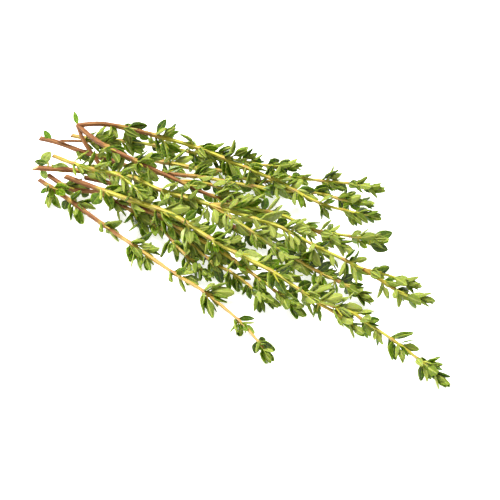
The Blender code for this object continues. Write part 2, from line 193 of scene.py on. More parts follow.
# For each sprig: leaf slot, stem slot, how pale its leaves are, how lime its young stems are, and
# (woody length, fade) for each of its stems
DRESS = {
    "sprig_middle_branched": ("leaf_pale", "stem_young", 0.62, 0.78,
                              ((17, 8), (0, 1), (0, 1), (0, 1), (0, 1))),
    "sprig_front_long": ("leaf_green", "stem_young", 0.46, 0.68, ((12, 10), (0, 1))),
    "sprig_back_forked": ("leaf_green", "stem_woody", 0.34, 0.72,
                          ((22, 22), (70, 16), (0, 1), (90, 1))),
    "sprig_middle_lime": ("leaf_pale", "stem_young", 0.78, 0.95, ((0, 1),)),
    "sprig_front_edge": ("leaf_green", "stem_young", 0.26, 0.04, ((38, 16),)),
    "sprig_back_lower": ("leaf_green", "stem_woody", 0.28, 0.52, ((54, 20), (30, 1))),
    "sprig_middle_low": ("leaf_green", "stem_young", 0.28, 0.36, ((2, 30),)),
    "sprig_back_short": ("leaf_green", "stem_young", 0.3, 0.68, ((0, 1),)),
    "sprig_back_yellow": ("leaf_pale", "stem_young", 0.36, 0.78, ((0, 1),)),
    "sprig_middle_short": ("leaf_green", "stem_young", 0.24, 0.3, ((2, 20),)),
    "sprig_middle_under": ("leaf_green", "stem_young", 0.26, 0.4, ((20, 14),)),
    "sprig_front_short": ("leaf_pale", "stem_woody", 0.36, 0.2, ((31, 22),)),
}
print("stems:", sum(len(stems) for stems in SPRIGS.values()))

# %% [markdown]
# ## The rule that places the leaves
# Hand-placing hundreds of leaves would take days, and a plain array would look like wire. So a
# seeded rule walks down each stem and wishes for a crossed pair and two side shoots at every node,
# and each wish turns aside until it is clear of its neighbours. It is the same rule, with the same
# seeds, as the one that grew the CAD sprigs, so every CAD leaf has its finer double in the same
# place.

# %% Routes
OBSTACLE_STEP = 1.0              # mm between the points of a route
STEM_TIP_RADIUS = 0.45           # mm
CURVE_PARTS = 16


def route_length(route):
    """The length of a route."""
    return sum((q - p).length for p, q in zip(route, route[1:]))


def smooth_route(points, step):
    """Points about every step along a smooth curve through the given points."""
    knots = [Vector(p) for p in points]
    knots = [knots[0] * 2 - knots[1]] + knots + [knots[-1] * 2 - knots[-2]]
    fine = []
    for a, b, c, d in zip(knots, knots[1:], knots[2:], knots[3:]):
        for i in range(CURVE_PARTS):
            t = i / CURVE_PARTS
            fine.append(0.5 * (2 * b + (c - a) * t + (2 * a - 5 * b + 4 * c - d) * t ** 2
                               + (3 * b - a - 3 * c + d) * t ** 3))
    fine.append(knots[-2])
    length = route_length(fine)
    count = max(2, round(length / step))
    route = [fine[0]]
    walked = 0.0
    for p, q in zip(fine, fine[1:]):
        span = (q - p).length
        while len(route) < count and walked + span >= length * len(route) / count:
            route.append(p.lerp(q, (length * len(route) / count - walked) / span))
        walked += span
    route.append(fine[-1])
    return route


def stem_frames(route):
    """Direction, side and upper directions at each point of a route."""
    frames = []
    for i in range(len(route)):
        along = (route[min(i + 1, len(route) - 1)] - route[max(i - 1, 0)]).normalized()
        side = along.cross(Vector((0, 0, 1))).normalized()
        frames.append((along, side, side.cross(along)))
    return frames


def stem_radius(base, share):
    """Radius of a stem at a share of its length from the thick end."""
    return base + (STEM_TIP_RADIUS - base) * share


longest = smooth_route(SPRIGS["sprig_front_long"][0][1], OBSTACLE_STEP)
print("longest stem:", round(route_length(longest)), "mm")

# %% One leaf as a row of values
LEAF_WIDTH_RATIO = 0.43
LEAF_PROBES = ((0.25, 0.0), (0.42, 0.38), (0.6, 0.38), (0.78, 0.25), (1.0, 0.0))
OPEN_SIDE = Vector((0.4, -0.6, 0.7))        # single leaves lie open towards this side
Leaf = namedtuple("Leaf", "root out face length width bend kind")


def blade_point(leaf, share, side):
    """A point of a leaf's middle surface, by share of its length and of its width."""
    along = share * leaf.length
    return (leaf.root + leaf.out * along + leaf.out.cross(leaf.face) * (side * leaf.width)
            - leaf.face * (leaf.bend * share * along))


def probes(leaf):
    """Points of the middle surface that stand for a leaf when clearances are measured."""
    return [blade_point(leaf, share, side) for share, half in LEAF_PROBES
            for side in ((-half, 0.0, half) if half else (0.0,))]


def turned(start, end, degrees):
    """The direction that lies some degrees from one direction towards another, square to it."""
    angle = math.radians(degrees)
    return start * math.cos(angle) + end * math.sin(angle)


def square_to(out, wanted):
    """The direction nearest to the wanted one that is square to a leaf."""
    return (wanted - out * wanted.dot(out)).normalized()


def leaf_at(root, frame, turn, opening, length, bend, roll, kind):
    """A leaf that leaves the stem at a turn round it and an opening from its direction."""
    along, side, up = frame
    radial = turned(side, up, turn)
    out = turned(along, radial, opening)
    face = turned(-radial, along, opening)
    face = turned(face, out.cross(face), roll)
    return Leaf(root, out, face, length, length * LEAF_WIDTH_RATIO, bend, kind)


def single_leaf(root, tip, width):
    """A listed leaf."""
    span = Vector(tip) - Vector(root)
    out = span.normalized()
    return Leaf(Vector(root), out, square_to(out, OPEN_SIDE), span.length, width, 0.0, "single")


# Leaves that stand alone, with a root, a tip and a width
SINGLE_LEAVES = {
    "sprig_back_forked": (((-82, 4, 16), (-85, 6, 20), 1.8),
                          ((-58, 21, 12), (-57, 26, 16), 2.9),
                          ((-63, -3, 19), (-59, 0, 18), 2.2)),
    "sprig_back_lower": (((-90, -3, 9), (-94, -2, 12), 2.2),),
    "sprig_middle_branched": (((-85, -15, 9), (-84, -10, 12), 3.6),
                              ((-80, -14, 10), (-74, -11, 9), 3.2)),
    "sprig_front_long": (((-55, -16, 11), (-56, -20, 8), 4.3),),
    "sprig_front_edge": (((-78, -19, 4), (-80, -22, 2), 1.8),),
}
print("single leaves:", sum(len(leaves) for leaves in SINGLE_LEAVES.values()))

# %% What each node wishes for
SEED = 41
# Pairs of the rosette at a stem's tip: distance from the tip, opening, length
ROSETTE = ((6.2, 46.0, 6.0), (3.4, 34.0, 5.4), (0.6, 16.0, 4.6))
ROSETTE_BENDS = (0.0, 0.2)
# Length near the tip, its gain and the distance of that gain; opening and its chance; ranges of
# sizes and bends; turn away from the pair, and step ahead of the node
NODE_WISHES = {
    "pair": (5.6, 1.3, 20.0, 54.0, 12.0, (0.88, 1.12), (0.0, 0.35), 0.0, 0.0),
    "shoot": (5.2, 3.2, 60.0, 32.0, 10.0, (0.85, 1.2), (-0.2, 0.2), 36.0, 1.5),
}
PAIR_TURN = 90.0
TURN_CHANCE = 15.0
ROLL_CHANCE = 25.0


def wanted_leaves(nodes, draw):
    """Leaves of one stem as (distance from the tip, turn, opening, length, bend, kind)."""
    wanted = []
    turn = draw.uniform(0, PAIR_TURN)
    for distance, opening, size in ROSETTE:
        for half_turn in (0, 180):
            bend = draw.uniform(*ROSETTE_BENDS)
            wanted.append((distance, turn + half_turn, opening, size, bend, "rosette"))
        turn += PAIR_TURN
    for distance in nodes:
        turn += PAIR_TURN + draw.uniform(-TURN_CHANCE, TURN_CHANCE)
        for kind, wish in NODE_WISHES.items():
            short, gain, reach, opening, chance, sizes, bends, spread, ahead = wish
            size = short + gain * min(1.0, distance / reach)
            for half_turn in (spread, 180 + spread):
                wanted.append((distance - ahead, turn + half_turn,
                               opening + draw.uniform(-chance, chance),
                               size * draw.uniform(*sizes), draw.uniform(*bends), kind))
    return wanted


print("wishes at one node:", len(wanted_leaves((10,), random.Random(SEED))) - 2 * len(ROSETTE))

# %% Turning aside until clear
TURNS = (0, 18, -18, 36, -36, 58, -58, 82, -82)
OPENINGS = (0, -14, 14)
SHRINKS = (1.0, 0.8)
# Clearances of a leaf's middle surface, in mm
LEAF_TO_LEAF = 1.55
LEAF_TO_OWN = 0.9
LEAF_TO_STEM = 1.05
LEAF_TO_TABLE = 0.05


def tree_of(points):
    """A search tree of points."""
    tree = kdtree.KDTree(len(points))
    for index, point in enumerate(points):
        tree.insert(point, index)
    tree.balance()
    return tree


def is_clear(leaf, own_points, others, ease):
    """Whether a leaf stays clear of the table, of other sprigs and of its own sprig's leaves."""
    other_leaves, other_stems, other_radii = others
    points = probes(leaf)
    for point in points:
        _, stem, to_stem = other_stems.find(point)
        if point.z < LEAF_TO_TABLE or to_stem < other_radii[stem] + LEAF_TO_STEM * ease:
            return False
        hit, _, to_leaf = other_leaves.find(point)
        if hit is not None and to_leaf < LEAF_TO_LEAF * ease:
            return False
    nearest = (LEAF_TO_OWN * ease) ** 2
    return all((own - point).length_squared >= nearest
               for point in points[1:] for own in own_points)


def first_clear(root, frame, wish, own_points, others, ease=1.0):
    """The first of a leaf's possible turns that is clear, or None."""
    turn, opening, size, bend, roll, kind = wish
    for shrink in SHRINKS:
        for more_open in OPENINGS:
            for more_turn in TURNS:
                leaf = leaf_at(root, frame, turn + more_turn, opening + more_open,
                               size * shrink, bend, roll, kind)
                if is_clear(leaf, own_points, others, ease):
                    return leaf
    return None


def measured_stem(base, points):
    """Points along a stem with its radius there."""
    route = smooth_route(points, OBSTACLE_STEP)
    return [(p, stem_radius(base, i / (len(route) - 1))) for i, p in enumerate(route)]


def others_of(name, taken):
    """What a sprig's leaves keep clear of: the taken points, the other stems and their radii."""
    stems = [entry for other in SPRIGS if other != name for entry in stem_points[other]]
    return tree_of(taken), tree_of([p for p, _ in stems]), [r for _, r in stems]


def place_leaves():
    """For each sprig, its leaves, each turned aside until it is clear, and the wishes left over."""
    placed = {name: [single_leaf(*leaf) for leaf in SINGLE_LEAVES.get(name, ())] for name in SPRIGS}
    missed = {name: [] for name in SPRIGS}
    taken = [point for leaves in placed.values() for leaf in leaves for point in probes(leaf)]
    for number, (name, stems) in enumerate(SPRIGS.items()):
        draw = random.Random(SEED + number)
        others = others_of(name, taken)
        own_points = []
        for base, points, nodes in stems:
            route = smooth_route(points, OBSTACLE_STEP)
            frames = stem_frames(route)
            length = route_length(route)
            for distance, turn, opening, size, bend, kind in wanted_leaves(nodes, draw):
                index = round((1 - distance / length) * (len(route) - 1))
                roll = draw.uniform(-ROLL_CHANCE, ROLL_CHANCE)
                wish = (route[index], frames[index], (turn, opening, size, bend, roll, kind))
                leaf = first_clear(*wish, own_points, others)
                if leaf:
                    placed[name].append(leaf)
                    own_points += probes(leaf)[1:]
                else:
                    missed[name].append(wish)
        taken += [point for leaf in placed[name] for point in probes(leaf)]
    return placed, missed


stem_points = {name: [entry for base, points, _ in stems for entry in measured_stem(base, points)]
               for name, stems in SPRIGS.items()}
cad_leaves, missed_wishes = place_leaves()
print("leaves and shoots of the CAD sprigs:", sum(len(leaves) for leaves in cad_leaves.values()))
print("wishes left over:", sum(len(wishes) for wishes in missed_wishes.values()))

# %% [markdown]
# ## Where the bundle is too dense for the CAD
# In the middle of the bundle, where the sprigs lie close, the solids need air between them, so
# many wishes found no room. Real leaves there touch and press on each other. The wishes left over
# are tried again with a third of the clearance, so the nodes inside the bundle get their leaves
# too.

# %% Fill the dense middle
DENSE_EASE = 0.33


def fill_gaps():
    """For each sprig, the left-over leaves that fit when leaves may nearly touch."""
    found = {name: [] for name in SPRIGS}
    taken = [point for leaves in cad_leaves.values() for leaf in leaves
             for point in probes(leaf)[1:]]
    for name, wishes in missed_wishes.items():
        others = others_of(name, taken)
        own_points = []
        for wish in wishes:
            leaf = first_clear(*wish, own_points, others, DENSE_EASE)
            if leaf:
                found[name].append(leaf)
                own_points += probes(leaf)[1:]
        taken += own_points
    return found


dense_leaves = fill_gaps()
print("leaves and shoots added:", sum(len(leaves) for leaves in dense_leaves.values()))

# %% [markdown]
# ## Shoots placed one by one
# A rule doesn't know where this one bundle happens to be full. These side shoots and leaves, each
# from a root on its stem to a tip, close the gaps between the sprigs where the photo shows none.

# %% Side shoots and leaves, one by one
SIDE_SHOOTS = {
    "sprig_front_long": (
        ((34, -16, 11), (41, -10, 12)), ((39, -16, 11), (45, -11, 12)),
        ((22, -14, 12), (28, -11, 11)), ((-4, -14, 13), (2, -10, 13)), ((60, -13, 9), (63, -15, 6)),
        ((39, -15, 10), (40, -18, 7)), ((51, -13, 10), (56, -9, 10)),
        ((12, -14, 12), (17, -10, 13)), ((-2, -14, 13), (3, -9, 14)),
        ((23, -14, 12), (29, -11, 11)), ((-14, -13, 13), (-10, -9, 14)),
        ((81, -15, 6), (86, -12, 5)), ((-39, -13, 12), (-35, -9, 14)),
    ),
    "sprig_middle_low": (
        ((9, -15, 9), (12, -13, 9)), ((24, -18, 7), (29, -14, 8)), ((-6, -14, 9), (1, -15, 4)),
    ),
    "sprig_middle_short": (
        ((30, 0, 6), (32, -3, 3)), ((36, 0, 6), (37, -4, 2)), ((33, 0, 6), (37, 3, 6)),
        ((17, 2, 5), (22, 0, 1)), ((-8, 2, 5), (-4, 0, 1)), ((-13, 2, 5), (-10, 2, 3)),
    ),
    "sprig_middle_branched": (
        ((-18, -1, 14), (-16, -4, 10)), ((-15, -1, 14), (-12, -4, 9)), ((-10, 0, 14), (-9, -4, 10)),
        ((31, 4, 13), (34, 3, 9)), ((37, 5, 12), (38, 2, 9)), ((6, 3, 14), (10, 2, 10)),
        ((16, 4, 14), (21, 3, 10)), ((-43, -4, 13), (-38, -5, 9)), ((51, 6, 9), (55, 4, 6)),
        ((24, 4, 13), (28, 1, 8)), ((6, -2, 11), (12, 3, 11)), ((-29, -3, 13), (-24, -4, 9)),
        ((51, 6, 10), (55, 7, 9)),
    ),
    "sprig_back_short": (
        ((6, 41, 6), (12, 42, 4)),
    ),
    "sprig_back_lower": (
        ((-81, 0, 8), (-76, 0, 6)),
    ),
    "sprig_middle_under": (
        ((17, -20, 6), (21, -23, 1)), ((-7, -16, 5), (0, -18, 1)),
    ),
    "sprig_back_yellow": (
        ((-24, 33, 6), (-20, 37, 7)), ((-58, 20, 6), (-61, 21, 8)),
    ),
    "sprig_front_short": (
        ((-39, -13, 6), (-34, -17, 1)),
    ),
    "sprig_front_edge": (
        ((-27, -26, 4), (-24, -29, 1)), ((18, -33, 4), (21, -36, 1)), ((1, -29, 4), (9, -24, 4)),
        ((-29, -26, 4), (-25, -23, 4)),
    ),
    "sprig_back_forked": (
        ((23, 30, 9), (28, 28, 5)), ((-45, -1, 18), (-40, -1, 14)), ((-71, 10, 18), (-69, 9, 15)),
        ((-40, 24, 11), (-47, 23, 15)),
    ),
}
SHORTEST_SHOOT = 6.0
SHOOT_WIDTH = 2.6
MORE_LEAVES = {
    "sprig_middle_branched": (
        ((-82, -14, 10), (-87, -16, 10), 2.6), ((-84, -16, 8), (-81, -17, 5), 2.8),
        ((37, 22, 8), (42, 28, 10), 3.4), ((37, 21, 7), (43, 24, 5), 3.2),
        ((-28, -3, 13), (-23, -3, 7), 3.2), ((-2, -1, 12), (0, 2, 11), 3.0),
        ((8, 4, 14), (10, 9, 13), 3.4), ((19, 4, 14), (21, 3, 7), 3.2),
        ((-42, -4, 13), (-39, -4, 7), 3.0), ((48, 7, 11), (51, 11, 12), 2.8),
        ((0, 8, 13), (-1, 12, 16), 3.2), ((-31, -3, 13), (-26, -4, 8), 3.4),
        ((-25, -2, 14), (-20, -2, 8), 3.0), ((-12, -1, 13), (-10, -4, 8), 3.0),
        ((2, -1, 11), (5, -3, 7), 3.2), ((38, 5, 12), (40, 8, 12), 2.8),
    ),
    "sprig_front_long": (
        ((-10, -14, 13), (-9, -8, 14), 3.2), ((2, -14, 12), (4, -8, 12), 3.4),
        ((30, -15, 11), (32, -9, 10), 3.6), ((27, -15, 11), (30, -15, 5), 3.2),
        ((17, -14, 12), (18, -8, 12), 3.2), ((66, -14, 8), (72, -8, 9), 2.4),
        ((66, -14, 8), (71, -17, 3), 3.0), ((-20, -12, 13), (-19, -6, 14), 3.4),
        ((-7, -14, 13), (-4, -9, 13), 3.2), ((4, -14, 12), (8, -10, 12), 3.2),
        ((15, -14, 12), (17, -11, 13), 3.0), ((22, -14, 12), (24, -11, 14), 3.0),
    ),
    "sprig_back_forked": (
        ((-23, 3, 14), (-20, 5, 9), 3.0), ((-26, 6, 14), (-23, 8, 12), 3.0),
        ((-63, 17, 13), (-60, 18, 10), 3.0),
    ),
    "sprig_back_yellow": (
        ((-60, 20, 6), (-57, 21, 4), 2.8), ((-14, 37, 6), (-10, 39, 4), 3.0),
    ),
    "sprig_front_short": (
        ((-66, -15, 5), (-63, -14, 4), 2.8),
    ),
    "sprig_back_lower": (
        ((-18, 19, 8), (-14, 21, 6), 3.0), ((-79, 0, 8), (-74, 0, 5), 3.0),
        ((-50, 6, 7), (-46, 6, 5), 3.0),
    ),
    "sprig_middle_low": (
        ((0, -14, 9), (4, -14, 4), 3.2), ((28, -18, 7), (32, -16, 6), 3.0),
    ),
    "sprig_middle_short": (
        ((38, 0, 6), (41, 4, 8), 3.0), ((0, 3, 5), (5, 3, 1), 3.0), ((25, 0, 6), (28, 5, 8), 3.2),
        ((29, 0, 6), (31, 4, 8), 3.0), ((-3, 3, 5), (0, 1, 1), 3.0),
    ),
    "sprig_back_short": (
        ((9, 43, 6), (14, 43, 4), 3.0),
    ),
    "sprig_middle_under": (
        ((-3, -17, 5), (2, -20, 1), 3.0),
    ),
    "sprig_front_edge": (
        ((29, -37, 4), (31, -35, 4), 2.4), ((29, -37, 4), (30, -40, 1), 3.0),
        ((-68, -20, 4), (-68, -23, 1), 3.4),
    ),
}


def hand_shoots(sprig):
    """The listed shoots of one sprig."""
    blades = [single_leaf(root, tip, SHOOT_WIDTH) for root, tip in SIDE_SHOOTS.get(sprig, ())]
    return [blade._replace(length=max(blade.length, SHORTEST_SHOOT), kind="shoot")
            for blade in blades]


for name in SPRIGS:
    dense_leaves[name] += hand_shoots(name)
    dense_leaves[name] += [single_leaf(*leaf) for leaf in MORE_LEAVES.get(name, ())]
print("shoots by hand:", sum(len(shoots) for shoots in SIDE_SHOOTS.values()))
print("leaves by hand:", sum(len(leaves) for leaves in MORE_LEAVES.values()))

# %% [markdown]
# ## The small leaves the CAD leaves out
# One broad CAD blade stands for a whole side shoot. A real one is a thin stem with a few crossed
# pairs of small leaves, of which the two outer ones show. The shoots are grown inside the reach of
# their blades, so the bundle keeps its form. Each rosette gets its inner leaves and bud the same
# way, and many big leaves get a small one in their axil.

# %% Grow the side shoots, buds and axil leaves
SHOOT_SEED = 7
# Pairs of a side shoot: place along its blade, opening, and length as a share of the blade's
SHOOT_PAIRS = ((0.10, 36.0, 0.78), (0.30, 15.0, 0.72))
SHOOT_LEAF_TURN = 14.0
SHOOT_BENDS = (-0.25, 0.2)
NEARBY = 0.05                    # share of a blade over which its direction is measured
# Pairs of a bud: distance from the tip, opening, length, turn
BUD_LEAVES = ((5.0, 40.0, 4.4, 45), (2.2, 28.0, 4.2, 45), (0.2, 22.0, 3.4, 90), (-0.2, 8.0, 2.8, 0))
BUD_BENDS = (-0.3, 0.1)
SMALL_OPEN_CHANCE = 10.0
SMALL_SIZES = (0.85, 1.15)
AXIL_CHANCE = 0.45
AXIL_SIZES = (0.45, 0.68)
AXIL_LEANS = (0.35, 0.8)
AXIL_ASIDE = 0.5
AXIL_BENDS = (0.0, 0.3)
VIEW_SIDE = Vector((0.4056, -0.5793, 0.7071))   # the side from which the bundle is seen
HIDING = 0.65
HIDING_DROPPED = 0.9


def small_leaf(root, frame, turn, opening, size, bends, draw):
    """A small leaf, with a little chance in its opening, length, bend and roll."""
    return leaf_at(root, frame, turn,
                   opening + draw.uniform(-SMALL_OPEN_CHANCE, SMALL_OPEN_CHANCE),
                   size * draw.uniform(*SMALL_SIZES), draw.uniform(*bends),
                   draw.uniform(-ROLL_CHANCE, ROLL_CHANCE), "small")


def shoot_leaves(blade, draw):
    """The small leaves of one side shoot, inside the reach of its CAD blade."""
    leaves = []
    start = draw.uniform(0, PAIR_TURN)
    for share, opening, size in SHOOT_PAIRS:
        root = blade_point(blade, share, 0.0)
        along = (blade_point(blade, share + NEARBY, 0.0) - root).normalized()
        side = along.cross(blade.face).normalized()
        for half_turn in (0, 180):
            turn = start + half_turn + draw.uniform(-SHOOT_LEAF_TURN, SHOOT_LEAF_TURN)
            leaves.append(small_leaf(root, (along, side, side.cross(along)), turn, opening,
                                     size * blade.length, SHOOT_BENDS, draw))
        start += PAIR_TURN
    return leaves


def bud_leaves(points, draw):
    """The inner leaves of the rosette and the bud at a stem's tip."""
    route = smooth_route(points, OBSTACLE_STEP)
    frames = stem_frames(route)
    leaves = []
    start = draw.uniform(0, PAIR_TURN)
    for distance, opening, size, turn in BUD_LEAVES:
        index = max(0, len(route) - 1 - round(max(distance, 0.0)))
        for half_turn in (0, 180):
            leaves.append(small_leaf(route[index], frames[index], start + turn + half_turn,
                                     opening, size, BUD_BENDS, draw))
    return leaves


def axil_leaf(leaf, draw):
    """A small leaf between a big leaf and the stem."""
    size = leaf.length * draw.uniform(*AXIL_SIZES)
    lean = leaf.face * draw.uniform(*AXIL_LEANS)
    across = leaf.out.cross(leaf.face) * draw.uniform(-AXIL_ASIDE, AXIL_ASIDE)
    out = (leaf.out + lean + across).normalized()
    return Leaf(leaf.root, out, square_to(out, leaf.face), size, size * LEAF_WIDTH_RATIO,
                draw.uniform(*AXIL_BENDS), "small")


def hides_stem(leaf, stem_tree, draw):
    """Whether a small leaf is dropped, because it lies over its own stem on the side seen."""
    middle = blade_point(leaf, 0.5, 0.0)
    offset = (middle - stem_tree.find(middle)[0]).normalized()
    return offset.dot(VIEW_SIDE) > HIDING and draw.random() < HIDING_DROPPED


stem_trees = {name: tree_of([p for p, _ in entries]) for name, entries in stem_points.items()}
all_leaves = {}
for number, (name, stems) in enumerate(SPRIGS.items()):
    draw = random.Random(SHOOT_SEED + number)
    leaves = []
    for leaf in cad_leaves[name] + dense_leaves[name]:
        leaves += shoot_leaves(leaf, draw) if leaf.kind == "shoot" else [leaf]
        if leaf.kind == "pair" and draw.random() < AXIL_CHANCE:
            leaves.append(axil_leaf(leaf, draw))
    leaves = [leaf for leaf in leaves
              if leaf.kind != "small" or not hides_stem(leaf, stem_trees[name], draw)]
    for _, points, _ in stems:
        leaves += bud_leaves(points, draw)
    all_leaves[name] = leaves
print("leaves in the finished bundle:", sum(len(leaves) for leaves in all_leaves.values()))

# %% [markdown]
# ## Colours
# A hex colour is written in sRGB, as seen on a screen, while Blender's shaders count in linear
# light. One function turns the first into the second.

# %% Hex to linear
def linear(hex_colour):
    """A shader colour from an sRGB hex value."""
    parts = [int(hex_colour[i:i + 2], 16) / 255 for i in (1, 3, 5)]
    light = [c / 12.92 if c <= 0.04045 else ((c + 0.055) / 1.055) ** 2.4 for c in parts]
    return (*light, 1.0)


print("mid green in linear light:", [round(c, 3) for c in linear("#5F8A2F")])

# %% [markdown]
# ## Adding shader nodes
# Every finish below is a small network. One helper adds a node with its settings, fills its inputs
# with numbers, colours or other nodes' outputs, and hands back one of its own outputs. Inputs
# stand in the order of the sockets, or by name. Most finishes lay a few colours over each other,
# each by a share that follows a value, so that is written once too.

# %% The node helper
# Sockets of the colour Mix node, which has one set of sockets for each kind of value
MIX_A = 6
MIX_B = 7
MIX_OUT = 2


def fill(tree, made, inputs):
    """Fills a node's inputs with numbers, colours or other nodes' outputs."""
    for name, value in enumerate(inputs) if isinstance(inputs, tuple) else inputs.items():
        if isinstance(value, bpy.types.NodeSocket):
            tree.links.new(value, made.inputs[name])
        else:
            made.inputs[name].default_value = value


def node(tree, kind, inputs=(), out=0, **settings):
    """Adds a shader node with its settings and its links, and returns one of its outputs."""
    made = tree.nodes.new("ShaderNode" + kind)
    for name, value in settings.items():
        setattr(made, name, value)
    fill(tree, made, inputs)
    return made.outputs[out]


def layered(tree, colour, layers):
    """Lays colours over a colour. A layer is a value, the range it is mapped from with the shares
    it is mapped to (left empty where the value is the share), and the colour that it brings."""
    for value, ranges, over in layers:
        share = node(tree, "MapRange", (value, *ranges)) if ranges else value
        colour = node(tree, "Mix", {0: share, MIX_A: colour, MIX_B: over}, MIX_OUT,
                      data_type="RGBA")
    return colour


def new_material(name):
    """An empty node material with its main shader."""
    material = bpy.data.materials.new(name)
    material.use_nodes = True
    return material, material.node_tree, material.node_tree.nodes["Principled BSDF"]


print("node helper ready")

# %% [markdown]
# ## The upper side of a leaf
# A thyme leaf is fleshy, with a thin waxy skin dotted with pits that hold oil glands. The skin
# gives a broad, soft shine and the green below it is mottled. The midrib lies in a groove and is
# paler, and a few side veins run forward from it. The leaf's own UV map runs from root to tip in u
# and across in v, so rib and veins follow every bend. A leaf attribute makes each leaf a little
# paler or darker.

# %% Finish of the upper side
LEAF_DEEP = linear("#2A4000")
LEAF_MID = linear("#587702")
LEAF_PALE = linear("#A3AE58")
RIB_COLOUR = linear("#AEB648")
MOTTLE_SCALE = 1 / 0.0009        # patches about 0.9 mm across
GLAND_SCALE = 1 / 0.00034        # glands about 0.3 mm apart, drawn coarser than life to show
RELIEF = 0.00012                 # metres, depth of the pits and veins
LEAF_GLOW = (0.6, 0.9, 0.06)     # mm that red, green and blue light travels inside a leaf
GLOW_WEIGHT = 0.45
VEIN_COUNT = 5.0
VEIN_LEAN = 1.1


def leaf_coordinates(tree):
    """Distance from the midrib, the side veins as a fading wave, and object coordinates."""
    uv = node(tree, "TexCoord", out="UV")
    along = node(tree, "SeparateXYZ", (uv,), "X")
    across = node(tree, "Math", (along.node.outputs["Y"], 0.5), operation="SUBTRACT")
    off_rib = node(tree, "Math", (across,), operation="ABSOLUTE")
    lean = node(tree, "Math", (off_rib, -VEIN_LEAN, along), operation="MULTIPLY_ADD")
    phase = node(tree, "Math", (lean, 2 * math.pi * VEIN_COUNT), operation="MULTIPLY")
    wave = node(tree, "Math", (phase,), operation="SINE")
    inner = node(tree, "MapRange", (off_rib, 0.12, 0.36, 1.0, 0.0))
    veins = node(tree, "Math", (wave, inner), operation="MULTIPLY")
    return off_rib, veins, uv.node.outputs["Object"]


def upper_leaf_material():
    """Waxy, gland-dotted skin over mottled green."""
    material, tree, shader = new_material("waxy_leaf_upper_side")
    off_rib, veins, places = leaf_coordinates(tree)
    tint = node(tree, "Attribute", out="Fac", attribute_name="leaf_tint")
    mottle = node(tree, "TexNoise", {"Vector": places, "Scale": MOTTLE_SCALE, "Detail": 2.0})
    depth = node(tree, "MapRange", (mottle, 0.35, 0.68, -0.22, 0.22))
    shade = node(tree, "Math", (tint, depth), operation="ADD", use_clamp=True)
    green = layered(tree, LEAF_DEEP, ((shade, (0.0, 0.5), LEAF_MID),
                                      (shade, (0.5, 1.0), LEAF_PALE),
                                      (veins, (0.55, 1.0, 0.0, 0.16), RIB_COLOUR),
                                      (off_rib, (0.01, 0.05, 0.42, 0.0), RIB_COLOUR),
                                      (off_rib, (0.4, 0.5, 0.0, 0.35), RIB_COLOUR)))
    glands = node(tree, "TexVoronoi", {"Vector": places, "Scale": GLAND_SCALE})
    pits = node(tree, "MapRange", (glands, 0.12, 0.3))
    groove = node(tree, "MapRange", (off_rib, 0.0, 0.12))
    relief = node(tree, "Math", (veins, -0.15, groove), operation="MULTIPLY_ADD")
    height = node(tree, "Math", (pits, 0.35, relief), operation="MULTIPLY_ADD")
    fill(tree, shader, {
        "Base Color": green,
        "Roughness": node(tree, "MapRange", (mottle, 0.0, 1.0, 0.25, 0.44)),
        "Normal": node(tree, "Bump", {"Height": height, "Strength": 0.45, "Distance": RELIEF}),
        "IOR": 1.42, "Specular IOR Level": 0.4, "Subsurface Weight": GLOW_WEIGHT,
        "Subsurface Radius": LEAF_GLOW, "Subsurface Scale": MM})
    return material


leaf_upper = upper_leaf_material()
print("finish:", leaf_upper.name)

# %% [markdown]
# ## The underside of a leaf
# Below, the leaf is covered with very short white hairs, a felt that takes the shine away and
# greys the green. The midrib stands out as a ridge. The felt is too fine for geometry at this
# size, so sheen and a fine noise stand for it.

# %% Finish of the underside
UNDER_GREEN = linear("#909A48")
UNDER_DEEP = linear("#4A6004")
UNDER_RIB = linear("#B0B45C")
FELT_SCALE = 1 / 0.00022         # tufts about 0.2 mm across, drawn coarser than life to show


def under_leaf_material():
    """Grey-green felt with a raised, pale midrib."""
    material, tree, shader = new_material("felted_leaf_underside")
    off_rib, veins, places = leaf_coordinates(tree)
    tint = node(tree, "Attribute", out="Fac", attribute_name="leaf_tint")
    felt = node(tree, "TexNoise", {"Vector": places, "Scale": FELT_SCALE, "Detail": 2.0})
    shade = node(tree, "Math", (felt, 0.3, tint), operation="MULTIPLY_ADD", use_clamp=True)
    ridge = node(tree, "MapRange", (off_rib, 0.0, 0.12, 1.0, 0.0))
    relief = node(tree, "Math", (veins, 0.2, ridge), operation="MULTIPLY_ADD")
    height = node(tree, "Math", (felt, 0.4, relief), operation="MULTIPLY_ADD")
    fill(tree, shader, {
        "Base Color": layered(tree, UNDER_DEEP, ((shade, (), UNDER_GREEN),
                                                 (off_rib, (0.03, 0.1, 0.6, 0.0), UNDER_RIB))),
        "Normal": node(tree, "Bump", {"Height": height, "Strength": 0.5, "Distance": RELIEF}),
        "Roughness": 0.78, "IOR": 1.4, "Specular IOR Level": 0.14,
        "Sheen Weight": 0.03, "Sheen Roughness": 0.5, "Subsurface Weight": GLOW_WEIGHT,
        "Subsurface Radius": LEAF_GLOW, "Subsurface Scale": MM})
    return material


leaf_under = under_leaf_material()
print("finish:", leaf_under.name)

# %% [markdown]
# ## Stems, from young green to wood
# A young thyme stem is yellow to lime and slightly glossy, with fine hairs and a pink or brown
# tinge at its nodes. Further down the skin turns to a terracotta bark that splits lengthwise. Both
# are one skin that changes with age, so one finish reads the age from an attribute. A second
# attribute holds the place on the stem in millimetres, so the streaks run along it round every
# bend.

